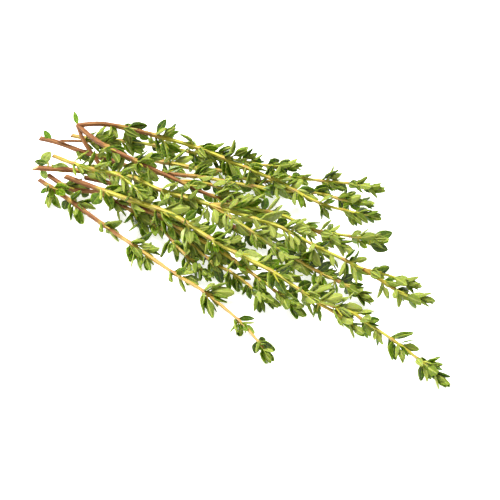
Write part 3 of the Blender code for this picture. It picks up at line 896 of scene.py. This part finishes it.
# %% Finish of the stems
YOUNG_LIME = linear("#B0B834")
YOUNG_STRAW = linear("#B48E34")
YOUNG_SHADE = linear("#8E741C")
NODE_PINK = linear("#A06838")
NODE_STRAW = linear("#AC9034")
BARK = linear("#8D5A2C")
BARK_DARK = linear("#613818")
BARK_GREY = linear("#A27842")
STREAKS = (2.6, 2.6, 0.22)       # per mm, streaks 0.4 mm wide and 4.5 mm long
BLOTCHES = 0.16                  # per mm, blotches 6 mm long
STEM_GLOW = (0.8, 0.6, 0.2)      # mm


def stem_material():
    """Smooth yellow skin that passes into streaked bark."""
    material, tree, shader = new_material("thyme_stem_skin_and_bark")
    age, lime, knot = [node(tree, "Attribute", out="Fac", attribute_name=name)
                       for name in ("stem_age", "stem_lime", "stem_node")]
    grain = node(tree, "Attribute", out="Vector", attribute_name="stem_grain")
    long_grain = node(tree, "Mapping", {"Vector": grain, "Scale": STREAKS})
    streaks = node(tree, "TexNoise", {"Vector": long_grain, "Scale": 1.0, "Detail": 4.0,
                                      "Roughness": 0.6})
    blotches = node(tree, "TexNoise", {"Vector": grain, "Scale": BLOTCHES, "Detail": 2.0})
    young = layered(tree, YOUNG_STRAW, ((lime, (), YOUNG_LIME),
                                        (streaks, (0.42, 0.7, 0.0, 0.6), YOUNG_SHADE)))
    bark = layered(tree, BARK, ((streaks, (0.45, 0.62), BARK_DARK),
                                (streaks, (0.44, 0.3, 0.0, 0.7), BARK_GREY)))
    patch = node(tree, "MapRange", (blotches, 0.3, 0.7, -0.3, 0.3))
    woody = node(tree, "Math", (age, patch), operation="ADD")
    woody = node(tree, "MapRange", (woody, 0.25, 0.75))
    scar = layered(tree, NODE_PINK, ((woody, (), NODE_STRAW),))
    cracks = node(tree, "Math", (streaks, woody), operation="MULTIPLY")
    height = node(tree, "Math", (streaks, 0.35, cracks), operation="MULTIPLY_ADD")
    fill(tree, shader, {
        "Base Color": layered(tree, young, ((woody, (), bark), (knot, (), scar))),
        "Roughness": node(tree, "MapRange", (woody, 0.0, 1.0, 0.42, 0.72)),
        "Normal": node(tree, "Bump", {"Height": height, "Strength": 0.6, "Distance": 0.00025},
                       invert=True),
        "IOR": 1.45, "Specular IOR Level": 0.4, "Sheen Weight": 0.05,
        "Subsurface Weight": 0.08, "Subsurface Radius": STEM_GLOW, "Subsurface Scale": MM})
    return material


stem_skin = stem_material()
print("finish:", stem_skin.name)

# %% [markdown]
# ## Cut wood
# Where a stem was cut, the pale wood shows inside a thin ring of bark. The fibres are cut across,
# so the face is rough and dull.

# %% Finish of the cut ends
CUT_PALE = linear("#D9BC8C")
CUT_BROWN = linear("#B28A5E")
FIBRE_SCALE = 1 / 0.0003         # fibres about 0.3 mm apart, drawn coarser than life to show


def cut_material():
    """Rough end grain."""
    material, tree, shader = new_material("cut_stem_wood")
    places = node(tree, "TexCoord", out="Object")
    fibres = node(tree, "TexNoise", {"Vector": places, "Scale": FIBRE_SCALE, "Detail": 3.0})
    fill(tree, shader, {
        "Base Color": layered(tree, CUT_PALE, ((fibres, (), CUT_BROWN),)),
        "Normal": node(tree, "Bump", {"Height": fibres, "Strength": 0.5, "Distance": 0.0001}),
        "Roughness": 0.85})
    return material


cut_wood = cut_material()
print("finish:", cut_wood.name)

# %% [markdown]
# ## Modelling a leaf blank
# A blank is one leaf, one unit long and one wide, modelled by hand from a flat grid. Its middle
# column is lowered to the groove of the midrib and its margins are rolled under, its rows are
# narrowed to the leaf's outline and slid to their places, and a thickness is added below. Modelled
# once, it is copied for every leaf. Three blanks are enough, because each copy is stretched, bent
# and tinted.

# %% Tools for edit mode
def start_clean():
    """Leaves nothing selected, so that an operator meets only what is picked next."""
    if bpy.context.object and bpy.context.object.mode != "OBJECT":
        bpy.ops.object.mode_set(mode="OBJECT")
    bpy.ops.object.select_all(action="DESELECT")


def pick(thing, wanted):
    """In edit mode, selects the points whose place passes a test."""
    shape = bmesh.from_edit_mesh(thing.data)
    for point in shape.verts:
        point.select_set(bool(wanted(point.co)))
    shape.select_flush(True)
    bmesh.update_edit_mesh(thing.data)


print("edit tools ready")

# %% Shape the blanks
LENGTH_CELLS = 5
WIDTH_CELLS = 4
BLADE_THICKNESS = 0.13           # of the leaf's width, about a third of a millimetre
NEAR = 0.01
BLADE_SMOOTHING = 50             # degrees
# Rows of the outline as (place along the leaf, width), from the leaf stalk to the tip
BROAD_ROWS = ((0.0, 0.14), (0.13, 0.26), (0.36, 0.94), (0.64, 0.9), (0.89, 0.5), (1.0, 0.12))
LANCE_ROWS = ((0.0, 0.16), (0.14, 0.3), (0.36, 0.94), (0.64, 0.84), (0.89, 0.44), (1.0, 0.1))
# Heights of the midrib, the middle of each half and the margin, as shares of the width
ACROSS = (0.0, 0.25, 0.5)
ROLLED = (-0.08, 0.06, -0.12)
FLAT = (-0.06, 0.04, -0.03)
FOLDED = (-0.09, 0.03, 0.17)
# The few big leaves that stand alone are rounded once more
BLANKS = {
    "rolled": (BROAD_ROWS, ROLLED, 0),
    "folded": (LANCE_ROWS, FOLDED, 0),
    "alone": (BROAD_ROWS, FLAT, 1),
}


def leaf_blank(name, rows, heights, rounding):
    """One leaf modelled from a grid, with a thickness."""
    start_clean()
    bpy.ops.mesh.primitive_grid_add(x_subdivisions=LENGTH_CELLS, y_subdivisions=WIDTH_CELLS,
                                    size=1.0, location=(0.5, 0.0, 0.0))
    blank = bpy.context.object
    blank.name = name
    bpy.ops.object.transform_apply(location=True, rotation=False, scale=False)
    bpy.ops.object.mode_set(mode="EDIT")
    bpy.ops.mesh.select_mode(type="VERT")
    for half, height in zip(ACROSS, heights):
        pick(blank, lambda co: abs(abs(co.y) - half) < NEAR)
        bpy.ops.transform.translate(value=(0.0, 0.0, height))
    places = [i / LENGTH_CELLS for i in range(LENGTH_CELLS + 1)]
    for place, (_, width) in zip(places, rows):
        pick(blank, lambda co: abs(co.x - place) < NEAR)
        bpy.ops.transform.resize(value=(1.0, width, width), center_override=(place, 0.0, 0.0))
    for place, (new_place, _) in sorted(zip(places, rows), key=lambda row: -abs(row[0] - 0.5)):
        pick(blank, lambda co: abs(co.x - place) < NEAR)
        bpy.ops.transform.translate(value=(new_place - place, 0.0, 0.0))
    bpy.ops.object.mode_set(mode="OBJECT")
    blank.data.materials.append(leaf_upper)
    blank.data.materials.append(leaf_under)
    if rounding:
        smooth = blank.modifiers.new("Rounding", "SUBSURF")
        smooth.levels = rounding
        smooth.render_levels = rounding
        bpy.ops.object.modifier_apply(modifier=smooth.name)
    wall = blank.modifiers.new("Thickness", "SOLIDIFY")
    wall.thickness = BLADE_THICKNESS
    wall.offset = -1.0
    wall.material_offset = 1
    wall.material_offset_rim = 1
    bpy.ops.object.modifier_apply(modifier=wall.name)
    bpy.ops.object.shade_smooth_by_angle(angle=math.radians(BLADE_SMOOTHING))
    print(name, len(blank.data.polygons), "faces")
    return blank


blanks = {kind: leaf_blank("blank_" + kind, *shape) for kind, shape in BLANKS.items()}

# %% [markdown]
# ## Hairs
# Young thyme stems carry short white hairs that stand off all round and give them a soft rim. A
# hair is hollow and nearly clear, and scatters the light, so it looks white with a little shine.

# %% Finish of the hairs
HAIR_WHITE = linear("#E9E7CF")
HAIR_SHADE = linear("#C9CBA0")
HAIR_CELLS = 1 / 0.0002          # cells about 0.2 mm long


def hair_material():
    """A clear, dry hair that scatters light."""
    material, tree, shader = new_material("white_stem_hair")
    places = node(tree, "TexCoord", out="Object")
    cells = node(tree, "TexNoise", {"Vector": places, "Scale": HAIR_CELLS})
    fill(tree, shader, {
        "Base Color": layered(tree, HAIR_WHITE, ((cells, (), HAIR_SHADE),)),
        "Roughness": 0.45, "Specular IOR Level": 0.3})
    return material


hair_white = hair_material()
print("finish:", hair_white.name)

# %% [markdown]
# ## The stalk of a side shoot, and a hair
# Each side shoot has its own thin stem. It is modelled once as a short tapered stalk with five
# sides, laid along its length and cut across so that it can bend, and then copied like a leaf. A
# hair is the same shape with three sides and a sharp tip.

# %% Shape the stalk and the hair
ROD_SMOOTHING = 60               # degrees


def tapered_blank(name, sides, tip_radius, cuts, finish):
    """A tapered rod, one unit long and one thick at its root."""
    start_clean()
    bpy.ops.mesh.primitive_cone_add(vertices=sides, radius1=0.5, radius2=tip_radius, depth=1.0,
                                    location=(0.5, 0.0, 0.0),
                                    rotation=(0.0, math.radians(90), 0.0))
    rod = bpy.context.object
    rod.name = name
    bpy.ops.object.transform_apply(location=True, rotation=True, scale=False)
    bpy.ops.object.mode_set(mode="EDIT")
    for cut in range(1, cuts + 1):
        bpy.ops.mesh.select_all(action="SELECT")
        bpy.ops.mesh.bisect(plane_co=(cut / (cuts + 1), 0.0, 0.0), plane_no=(1.0, 0.0, 0.0))
    bpy.ops.object.mode_set(mode="OBJECT")
    bpy.ops.object.shade_smooth_by_angle(angle=math.radians(ROD_SMOOTHING))
    rod.data.materials.append(finish)
    print(name, len(rod.data.polygons), "faces")
    return rod


stalk = tapered_blank("blank_stalk", 5, 0.28, 3, stem_skin)
hair = tapered_blank("blank_hair", 3, 0.0, 1, hair_white)

# %% [markdown]
# ## Copying, bending and joining
# A copy's corners are carried from the blank to the leaf's place: along its direction, across it,
# and out of its face, with its bend. A leaf that would dip into the table lies flat on it. Each
# copy gets its tint, and a sprig's leaves are joined into one piece.

# %% Carry a blank to its place
TABLE_CLEARANCE = 0.0001         # metres


def corners(thing):
    """The places of a mesh's corners, in rows of x, y and z."""
    places = np.empty(len(thing.data.vertices) * 3)
    thing.data.vertices.foreach_get("co", places)
    return places.reshape(-1, 3)


def move_corners(thing, places):
    """Puts a mesh's corners at new places."""
    thing.data.vertices.foreach_set("co", places.ravel())
    thing.data.update()


def carried(blank, name, leaf, lift=1.0):
    """A copy of a blank with its own mesh, bent to a leaf's place."""
    copy = blank.copy()
    copy.data = blank.data.copy()
    copy.name = name
    bpy.context.scene.collection.objects.link(copy)
    x, y, z = corners(copy).T
    # The blank's y runs against the leaf's across direction, which keeps its faces outwards
    places = (np.outer(x * leaf.length, leaf.out)
              - np.outer(y * leaf.width, leaf.out.cross(leaf.face))
              + np.outer(z * leaf.width * lift - leaf.bend * x * x * leaf.length, leaf.face)
              + np.array(leaf.root))
    places = (places + np.array(LAYOUT_SHIFT)) * MM
    places[:, 2] = np.maximum(places[:, 2], TABLE_CLEARANCE)
    move_corners(copy, places)
    return copy


def set_values(thing, name, values):
    """Writes an attribute of the points: one number for all, or a number or vector for each."""
    values = np.asarray(values, np.float32)
    if values.ndim == 0:
        values = np.full(len(thing.data.vertices), values)
    kind, field = ("FLOAT_VECTOR", "vector") if values.ndim == 2 else ("FLOAT", "value")
    thing.data.attributes.new(name, kind, "POINT").data.foreach_set(field, values.ravel())


def joined(pieces, name):
    """One object from several."""
    start_clean()
    for piece in pieces:
        piece.select_set(True)
    bpy.context.view_layer.objects.active = pieces[0]
    bpy.ops.object.join()
    whole = bpy.context.object
    whole.name = name
    whole.data.name = name
    return whole


print("one leaf has", len(blanks["rolled"].data.polygons), "faces")

# %% Make the leaves of every sprig
LEAF_KINDS = {"pair": "rolled", "single": "alone", "rosette": "folded", "small": "folded"}
SMALL_ROLLED_SHARE = 0.45
NARROW_LEAVES = {"sprig_middle_lime": 0.66}
WIDTH_CHANCE = (1.04, 1.34)
LIFT_CHANCE = (0.5, 1.3)         # how deep the groove and the rolled margins are
# Leaves curve forward, towards the stem's tip
FORWARD_CURVE = {"pair": 0.24, "rosette": 0.2}
# Young leaves are paler, and single ones are older and darker
KIND_TINTS = {"small": 0.1, "rosette": 0.1, "single": -0.12}
TIP_REACH = 45.0                 # mm from the tip of the first stem, where leaves are darker
TIP_DEPTH = 0.3
TINT_CHANCE = 0.28
DARKEST = 0.1


def leaves_piece(sprig, leaves):
    """All the leaves of a sprig as one piece."""
    pale = DRESS[sprig][2]
    narrow = NARROW_LEAVES.get(sprig, 1.0)
    tip = Vector(SPRIGS[sprig][0][1][-1])
    draw = random.Random(sprig)
    copies = []
    for leaf in leaves:
        kind = LEAF_KINDS[leaf.kind]
        if leaf.kind == "small" and draw.random() < SMALL_ROLLED_SHARE:
            kind = "rolled"
        leaf = leaf._replace(width=leaf.width * narrow * draw.uniform(*WIDTH_CHANCE),
                             bend=leaf.bend - FORWARD_CURVE.get(leaf.kind, 0.0))
        copy = carried(blanks[kind], sprig + "_leaf", leaf, draw.uniform(*LIFT_CHANCE))
        near_tip = max(0.0, 1 - (leaf.root - tip).length / TIP_REACH)
        tint = (pale + KIND_TINTS.get(leaf.kind, 0.0) - TIP_DEPTH * near_tip
                + draw.gauss(0.0, TINT_CHANCE))
        set_values(copy, "leaf_tint", min(1.0, max(DARKEST, tint)))
        copies.append(copy)
    return joined(copies, sprig + "_leaves")


leaf_pieces = {name: leaves_piece(name, leaves) for name, leaves in all_leaves.items()}
for blank in blanks.values():
    bpy.data.objects.remove(blank)
print("corners of the largest leaf piece:",
      max(len(piece.data.vertices) for piece in leaf_pieces.values()))

# %% [markdown]
# ## Stems
# A stem is a curve with a closed profile swept along it: thyme belongs to the mint family, whose
# stems are square with rounded corners. The curve's radius tapers to the tip and swells at each
# node, where the leaves have left their scars. The curve is then turned into a mesh, whose faces a
# sweep can leave inside out, so they are turned outwards before anything else is done to it.

# %% Sweep the stems
STEM_STEP = 1.5                  # mm
PROFILE_CORNER = 0.97            # of the radius, at the corners of the square
PROFILE_FLAT = 0.8               # and at the middle of its sides
NODE_SWELL = 0.34
NODE_REACH = 0.9                 # mm
UNEVEN = 0.05                    # of the radius
SAME_PLACE = 0.000001            # metres


def stem_profile():
    """The stem's section, a square with rounded corners, as a closed curve."""
    start_clean()
    bpy.ops.curve.primitive_bezier_circle_add(radius=1.0)
    profile = bpy.context.object
    profile.name = "stem_section"
    profile.data.splines.clear()
    spline = profile.data.splines.new("POLY")
    spline.points.add(7)
    for i, point in enumerate(spline.points):
        turn = math.radians(45 * i)
        reach = PROFILE_CORNER if i % 2 else PROFILE_FLAT
        point.co = (reach * math.cos(turn), reach * math.sin(turn), 0.0, 1.0)
    spline.use_cyclic_u = True
    return profile


def turn_faces_out():
    """In edit mode, joins the caps to the tube and turns every face outwards."""
    bpy.ops.mesh.select_all(action="SELECT")
    bpy.ops.mesh.remove_doubles(threshold=SAME_PLACE)
    bpy.ops.mesh.normals_make_consistent(inside=False)


def swept_stem(name, profile, base, points, nodes, draw, spare):
    """One stem as a mesh, tapered and swollen at its nodes, with spare length for its cut."""
    route = smooth_route(points, STEM_STEP)
    route[0] = route[0] + (route[0] - route[1]).normalized() * spare
    length = route_length(route)
    curve = bpy.data.curves.new(name, "CURVE")
    curve.dimensions = "3D"
    curve.twist_mode = "Z_UP"
    curve.bevel_mode = "OBJECT"
    curve.bevel_object = profile
    curve.use_fill_caps = True
    spline = curve.splines.new("POLY")
    spline.points.add(len(route) - 1)
    for i, (point, place) in enumerate(zip(spline.points, route)):
        share = i / (len(route) - 1)
        to_tip = (1 - share) * length
        swell = sum(NODE_SWELL * math.exp(-((to_tip - d) / NODE_REACH) ** 2) for d in nodes)
        uneven = draw.uniform(-UNEVEN, UNEVEN)
        point.co = ((place + LAYOUT_SHIFT) * MM).to_4d()
        point.radius = stem_radius(base, share) * (1 + swell + uneven) * MM
    stem = bpy.data.objects.new(name, curve)
    bpy.context.scene.collection.objects.link(stem)
    start_clean()
    stem.select_set(True)
    bpy.context.view_layer.objects.active = stem
    bpy.ops.object.convert(target="MESH")
    stem = bpy.context.object
    bpy.ops.object.mode_set(mode="EDIT")
    turn_faces_out()
    bpy.ops.object.mode_set(mode="OBJECT")
    return stem


profile = stem_profile()
print("section has", len(profile.data.splines[0].points), "points")

# %% [markdown]
# ## Cut ends
# Stems are cut with scissors, some straight and some at a slant. A slanting plane cuts the end off
# and closes it, and an inset leaves the ring of bark round the wood.

# %% Cut a stem's end
BARK_RING = 0.16                 # mm
CUT_SPARE = 0.4                  # mm
CUT_SLANTS = {"sprig_middle_branched": 60, "sprig_back_lower": 25, "sprig_front_long": 30,
              "sprig_front_edge": 40, "sprig_front_short": 20, "sprig_back_yellow": 35,
              "sprig_middle_lime": 30}
CUT_REACH = 0.006                # metres round the cut that the plane may take off
ON_CUT = 0.00002                 # metres
FACING_CUT = 0.9                 # a face that points along the cut's direction has 1


def cut_spare(base, slant):
    """The length beyond the middle of the cut that a slanting cut takes off."""
    return base * math.tan(math.radians(slant)) + CUT_SPARE


def cut_end(stem, points, slant):
    """Cuts the thick end on a slant and shows its wood."""
    route = smooth_route(points, STEM_STEP)
    along, _, up = stem_frames(route)[0]
    normal = turned(-along, up, slant)
    middle = (route[0] + LAYOUT_SHIFT) * MM
    bpy.ops.object.mode_set(mode="EDIT")
    bpy.ops.mesh.select_mode(type="FACE")
    pick(stem, lambda co: (co - middle).length < CUT_REACH)
    bpy.ops.mesh.bisect(plane_co=middle, plane_no=normal, use_fill=True, clear_outer=True)
    shape = bmesh.from_edit_mesh(stem.data)
    for face in shape.faces:
        on_cut = abs((face.calc_center_median() - middle).dot(normal)) < ON_CUT
        face.select_set(on_cut and abs(face.normal.dot(normal)) > FACING_CUT)
    bmesh.update_edit_mesh(stem.data)
    bpy.ops.mesh.inset(thickness=BARK_RING * MM)
    stem.active_material_index = 1
    bpy.ops.object.material_slot_assign()
    turn_faces_out()
    bpy.ops.object.mode_set(mode="OBJECT")


print("slanting cuts:", len(CUT_SLANTS))

# %% Age, node and grain of a stem
NODE_TINT = 0.75
NODE_SPREAD = 2.0                # mm
LIME_START = 15.0                # mm from the thick end, where a young stem turns lime


def mark_stem(stem, points, nodes, woody, fade, lime):
    """Writes the attributes that the stem finish reads."""
    route = smooth_route(points, OBSTACLE_STEP)
    frames = stem_frames(route)
    length = route_length(route)
    tree = tree_of(route)
    marks = []
    for vertex in stem.data.vertices:
        place = vertex.co / MM - LAYOUT_SHIFT
        middle, index, _ = tree.find(place)
        _, side, up = frames[index]
        offset = place - middle
        walked = length * index / (len(route) - 1)
        near = min(abs(length - walked - distance) for distance in nodes)
        marks.append((min(1.0, max(0.0, 1 - (walked - woody) / fade)),
                      NODE_TINT * max(0.0, 1 - near / NODE_SPREAD),
                      lime * min(1.0, walked / LIME_START),
                      offset.dot(side), offset.dot(up), walked))
    marks = np.array(marks)
    for column, name in enumerate(("stem_age", "stem_node", "stem_lime")):
        set_values(stem, name, marks[:, column])
    set_values(stem, "stem_grain", marks[:, 3:])


print("stem marks ready")

# %% Hairs and stalks
HAIR_STEP = 0.8                  # mm between rings of hairs, fewer than in life
HAIRS_IN_RING = 2
HAIR_LENGTHS = (0.3, 0.55)       # mm
HAIR_THICKNESS = 0.06            # mm
HAIR_LEANS = (-0.3, 0.5)
HAIR_CURL = 0.25
HAIR_ROOT = 0.7                  # of the stem's radius, so that the root is hidden in the skin
STALK_SHARE = 0.56               # of a side shoot's reach
STALK_THICKNESS = 0.75           # mm
LEAF_STALK_OVERLAP = 0.6         # mm
ON_STEM = 0.9                    # mm, a leaf rooted this near the middle needs no stalk


def stem_hairs(sprig, base, points, woody, draw):
    """The hairs of one stem, past its woody part."""
    route = smooth_route(points, HAIR_STEP)
    frames = stem_frames(route)
    hairs = []
    for i in range(round(woody / HAIR_STEP) + 2, len(route) - 2):
        along, side, up = frames[i]
        for _ in range(HAIRS_IN_RING):
            radial = turned(side, up, draw.uniform(0, 360))
            out = (radial + along * draw.uniform(*HAIR_LEANS)).normalized()
            root = route[i] + radial * stem_radius(base, i / len(route)) * HAIR_ROOT
            length = draw.uniform(*HAIR_LENGTHS) + base * (1 - HAIR_ROOT)
            face = along.cross(out).normalized()
            hairs.append(carried(hair, sprig + "_hair",
                                 Leaf(root, out, face, length, HAIR_THICKNESS, HAIR_CURL, "hair")))
    return hairs


def stalk_place(sprig, leaf):
    """Where the stalk of a side shoot or of a single leaf lies, or None if it needs none."""
    place = leaf._replace(length=leaf.length * STALK_SHARE, width=STALK_THICKNESS,
                          bend=leaf.bend * STALK_SHARE)
    if leaf.kind == "shoot":
        return place
    root = stem_trees[sprig].find(leaf.root)[0]
    gap = leaf.root - root
    if leaf.kind != "single" or gap.length < ON_STEM:
        return None
    out = gap.normalized()
    return place._replace(root=root, out=out, face=out.orthogonal(),
                          length=gap.length + LEAF_STALK_OVERLAP, bend=0.0)


print("rings of hairs on 10 mm of stem:", round(10 / HAIR_STEP))

# %% Make the stems of every sprig
STALK_TINT = 0.15
STALK_LIME = 0.4                 # stalks are younger, so they are more lime than their stem
STEM_SMOOTHING = 48              # degrees


def stems_piece(sprig):
    """A sprig's stems, with their hairs and the stalks of its side shoots, as one piece."""
    draw = random.Random(sprig)
    lime, woods = DRESS[sprig][3:]
    parts = []
    for number, ((base, points, nodes), (woody, fade)) in enumerate(zip(SPRIGS[sprig], woods)):
        slant = 0 if number else CUT_SLANTS.get(sprig, 0)
        spare = cut_spare(base, slant) if slant else 0.0
        stem = swept_stem(f"{sprig}_stem_{number}", profile, base, points, nodes, draw, spare)
        stem.data.materials.append(stem_skin)
        stem.data.materials.append(cut_wood)
        if slant:
            cut_end(stem, points, slant)
        mark_stem(stem, points, nodes, woody, fade, lime)
        parts += [stem] + stem_hairs(sprig, base, points, woody, draw)
    for leaf in cad_leaves[sprig] + dense_leaves[sprig]:
        place = stalk_place(sprig, leaf)
        if place:
            twig = carried(stalk, sprig + "_stalk", place)
            for name, values in (("stem_age", 0.0), ("stem_node", STALK_TINT),
                                 ("stem_lime", min(1.0, lime + STALK_LIME)),
                                 ("stem_grain", corners(twig) / MM)):
                set_values(twig, name, values)
            parts.append(twig)
    whole = joined(parts, sprig + "_stems")
    bpy.ops.object.shade_smooth_by_angle(angle=math.radians(STEM_SMOOTHING))
    places = corners(whole)
    places[:, 2] = np.maximum(places[:, 2], 0.0)
    move_corners(whole, places)
    return whole


stem_pieces = {name: stems_piece(name) for name in SPRIGS}
for blank in (stalk, hair, profile):
    bpy.data.objects.remove(blank)
print("corners of the largest stem piece:",
      max(len(piece.data.vertices) for piece in stem_pieces.values()))

# %% [markdown]
# ## Put the pieces in the frame
# Each pair of pieces rides on the bundle's one body and takes the place of its CAD sprig.

# %% Ride and replace
for name in SPRIGS:
    leaf_slot, stem_slot = DRESS[name][:2]
    for piece, slot in ((leaf_pieces[name], leaf_slot), (stem_pieces[name], stem_slot)):
        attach(piece, "root")
        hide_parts(name)
print("pieces:", len(leaf_pieces) + len(stem_pieces))

# %% [markdown]
# ## Floor and light
# The photo shows the bundle on pure white, with no shadow, as on a light table. A sheet of opal
# acrylic with a glow of its own gives that. A small bright light above the far left models the
# leaves, a broad weak one in front opens the shades, and a white sky fills the rest.

# %% Stage
FLOOR_SIZE = 4.0
FLOOR_WHITE = linear("#FAFAFA")
FLOOR_GRAIN = 900.0              # per metre, a grain of about a millimetre
FLOOR_GLOW = 0.64                # a light table's own light, which takes out the shadows
PURE_WHITE = (1.0, 1.0, 1.0, 1.0)
SKY_STRENGTH = 0.34
# Name, place and size in metres, and watts
LIGHTS = (
    ("key_light", (-0.45, 0.1, 0.95), 0.5, 24.5),
    ("front_light", (0.5, -0.9, 0.8), 1.0, 6.0),
)


def make_floor():
    """A plain white floor."""
    start_clean()
    bpy.ops.mesh.primitive_plane_add(size=FLOOR_SIZE)
    floor = bpy.context.object
    floor.name = "floor"
    material, tree, shader = new_material("opal_acrylic_sheet")
    places = node(tree, "TexCoord", out="Object")
    grain = node(tree, "TexNoise", {"Vector": places, "Scale": FLOOR_GRAIN})
    fill(tree, shader, {
        "Normal": node(tree, "Bump", {"Height": grain, "Strength": 0.02, "Distance": 0.0001}),
        "Base Color": FLOOR_WHITE, "Roughness": 0.9, "Specular IOR Level": 0.2,
        "Emission Color": PURE_WHITE, "Emission Strength": FLOOR_GLOW})
    floor.data.materials.append(material)


def make_lights():
    """Soft lights that look at the bundle, and a white sky."""
    for name, place, size, power in LIGHTS:
        turn = Vector(place).to_track_quat("Z", "Y").to_euler()
        bpy.ops.object.light_add(type="AREA", location=place, rotation=turn)
        light = bpy.context.object
        light.name = name
        light.data.size = size
        light.data.energy = power
    world = bpy.data.worlds.new("white_sky")
    world.use_nodes = True
    fill(world.node_tree, world.node_tree.nodes["Background"],
         {"Color": PURE_WHITE, "Strength": SKY_STRENGTH})
    bpy.context.scene.world = world


make_floor()
make_lights()
bpy.context.scene.view_settings.view_transform = "Standard"
print("lights:", len(LIGHTS))
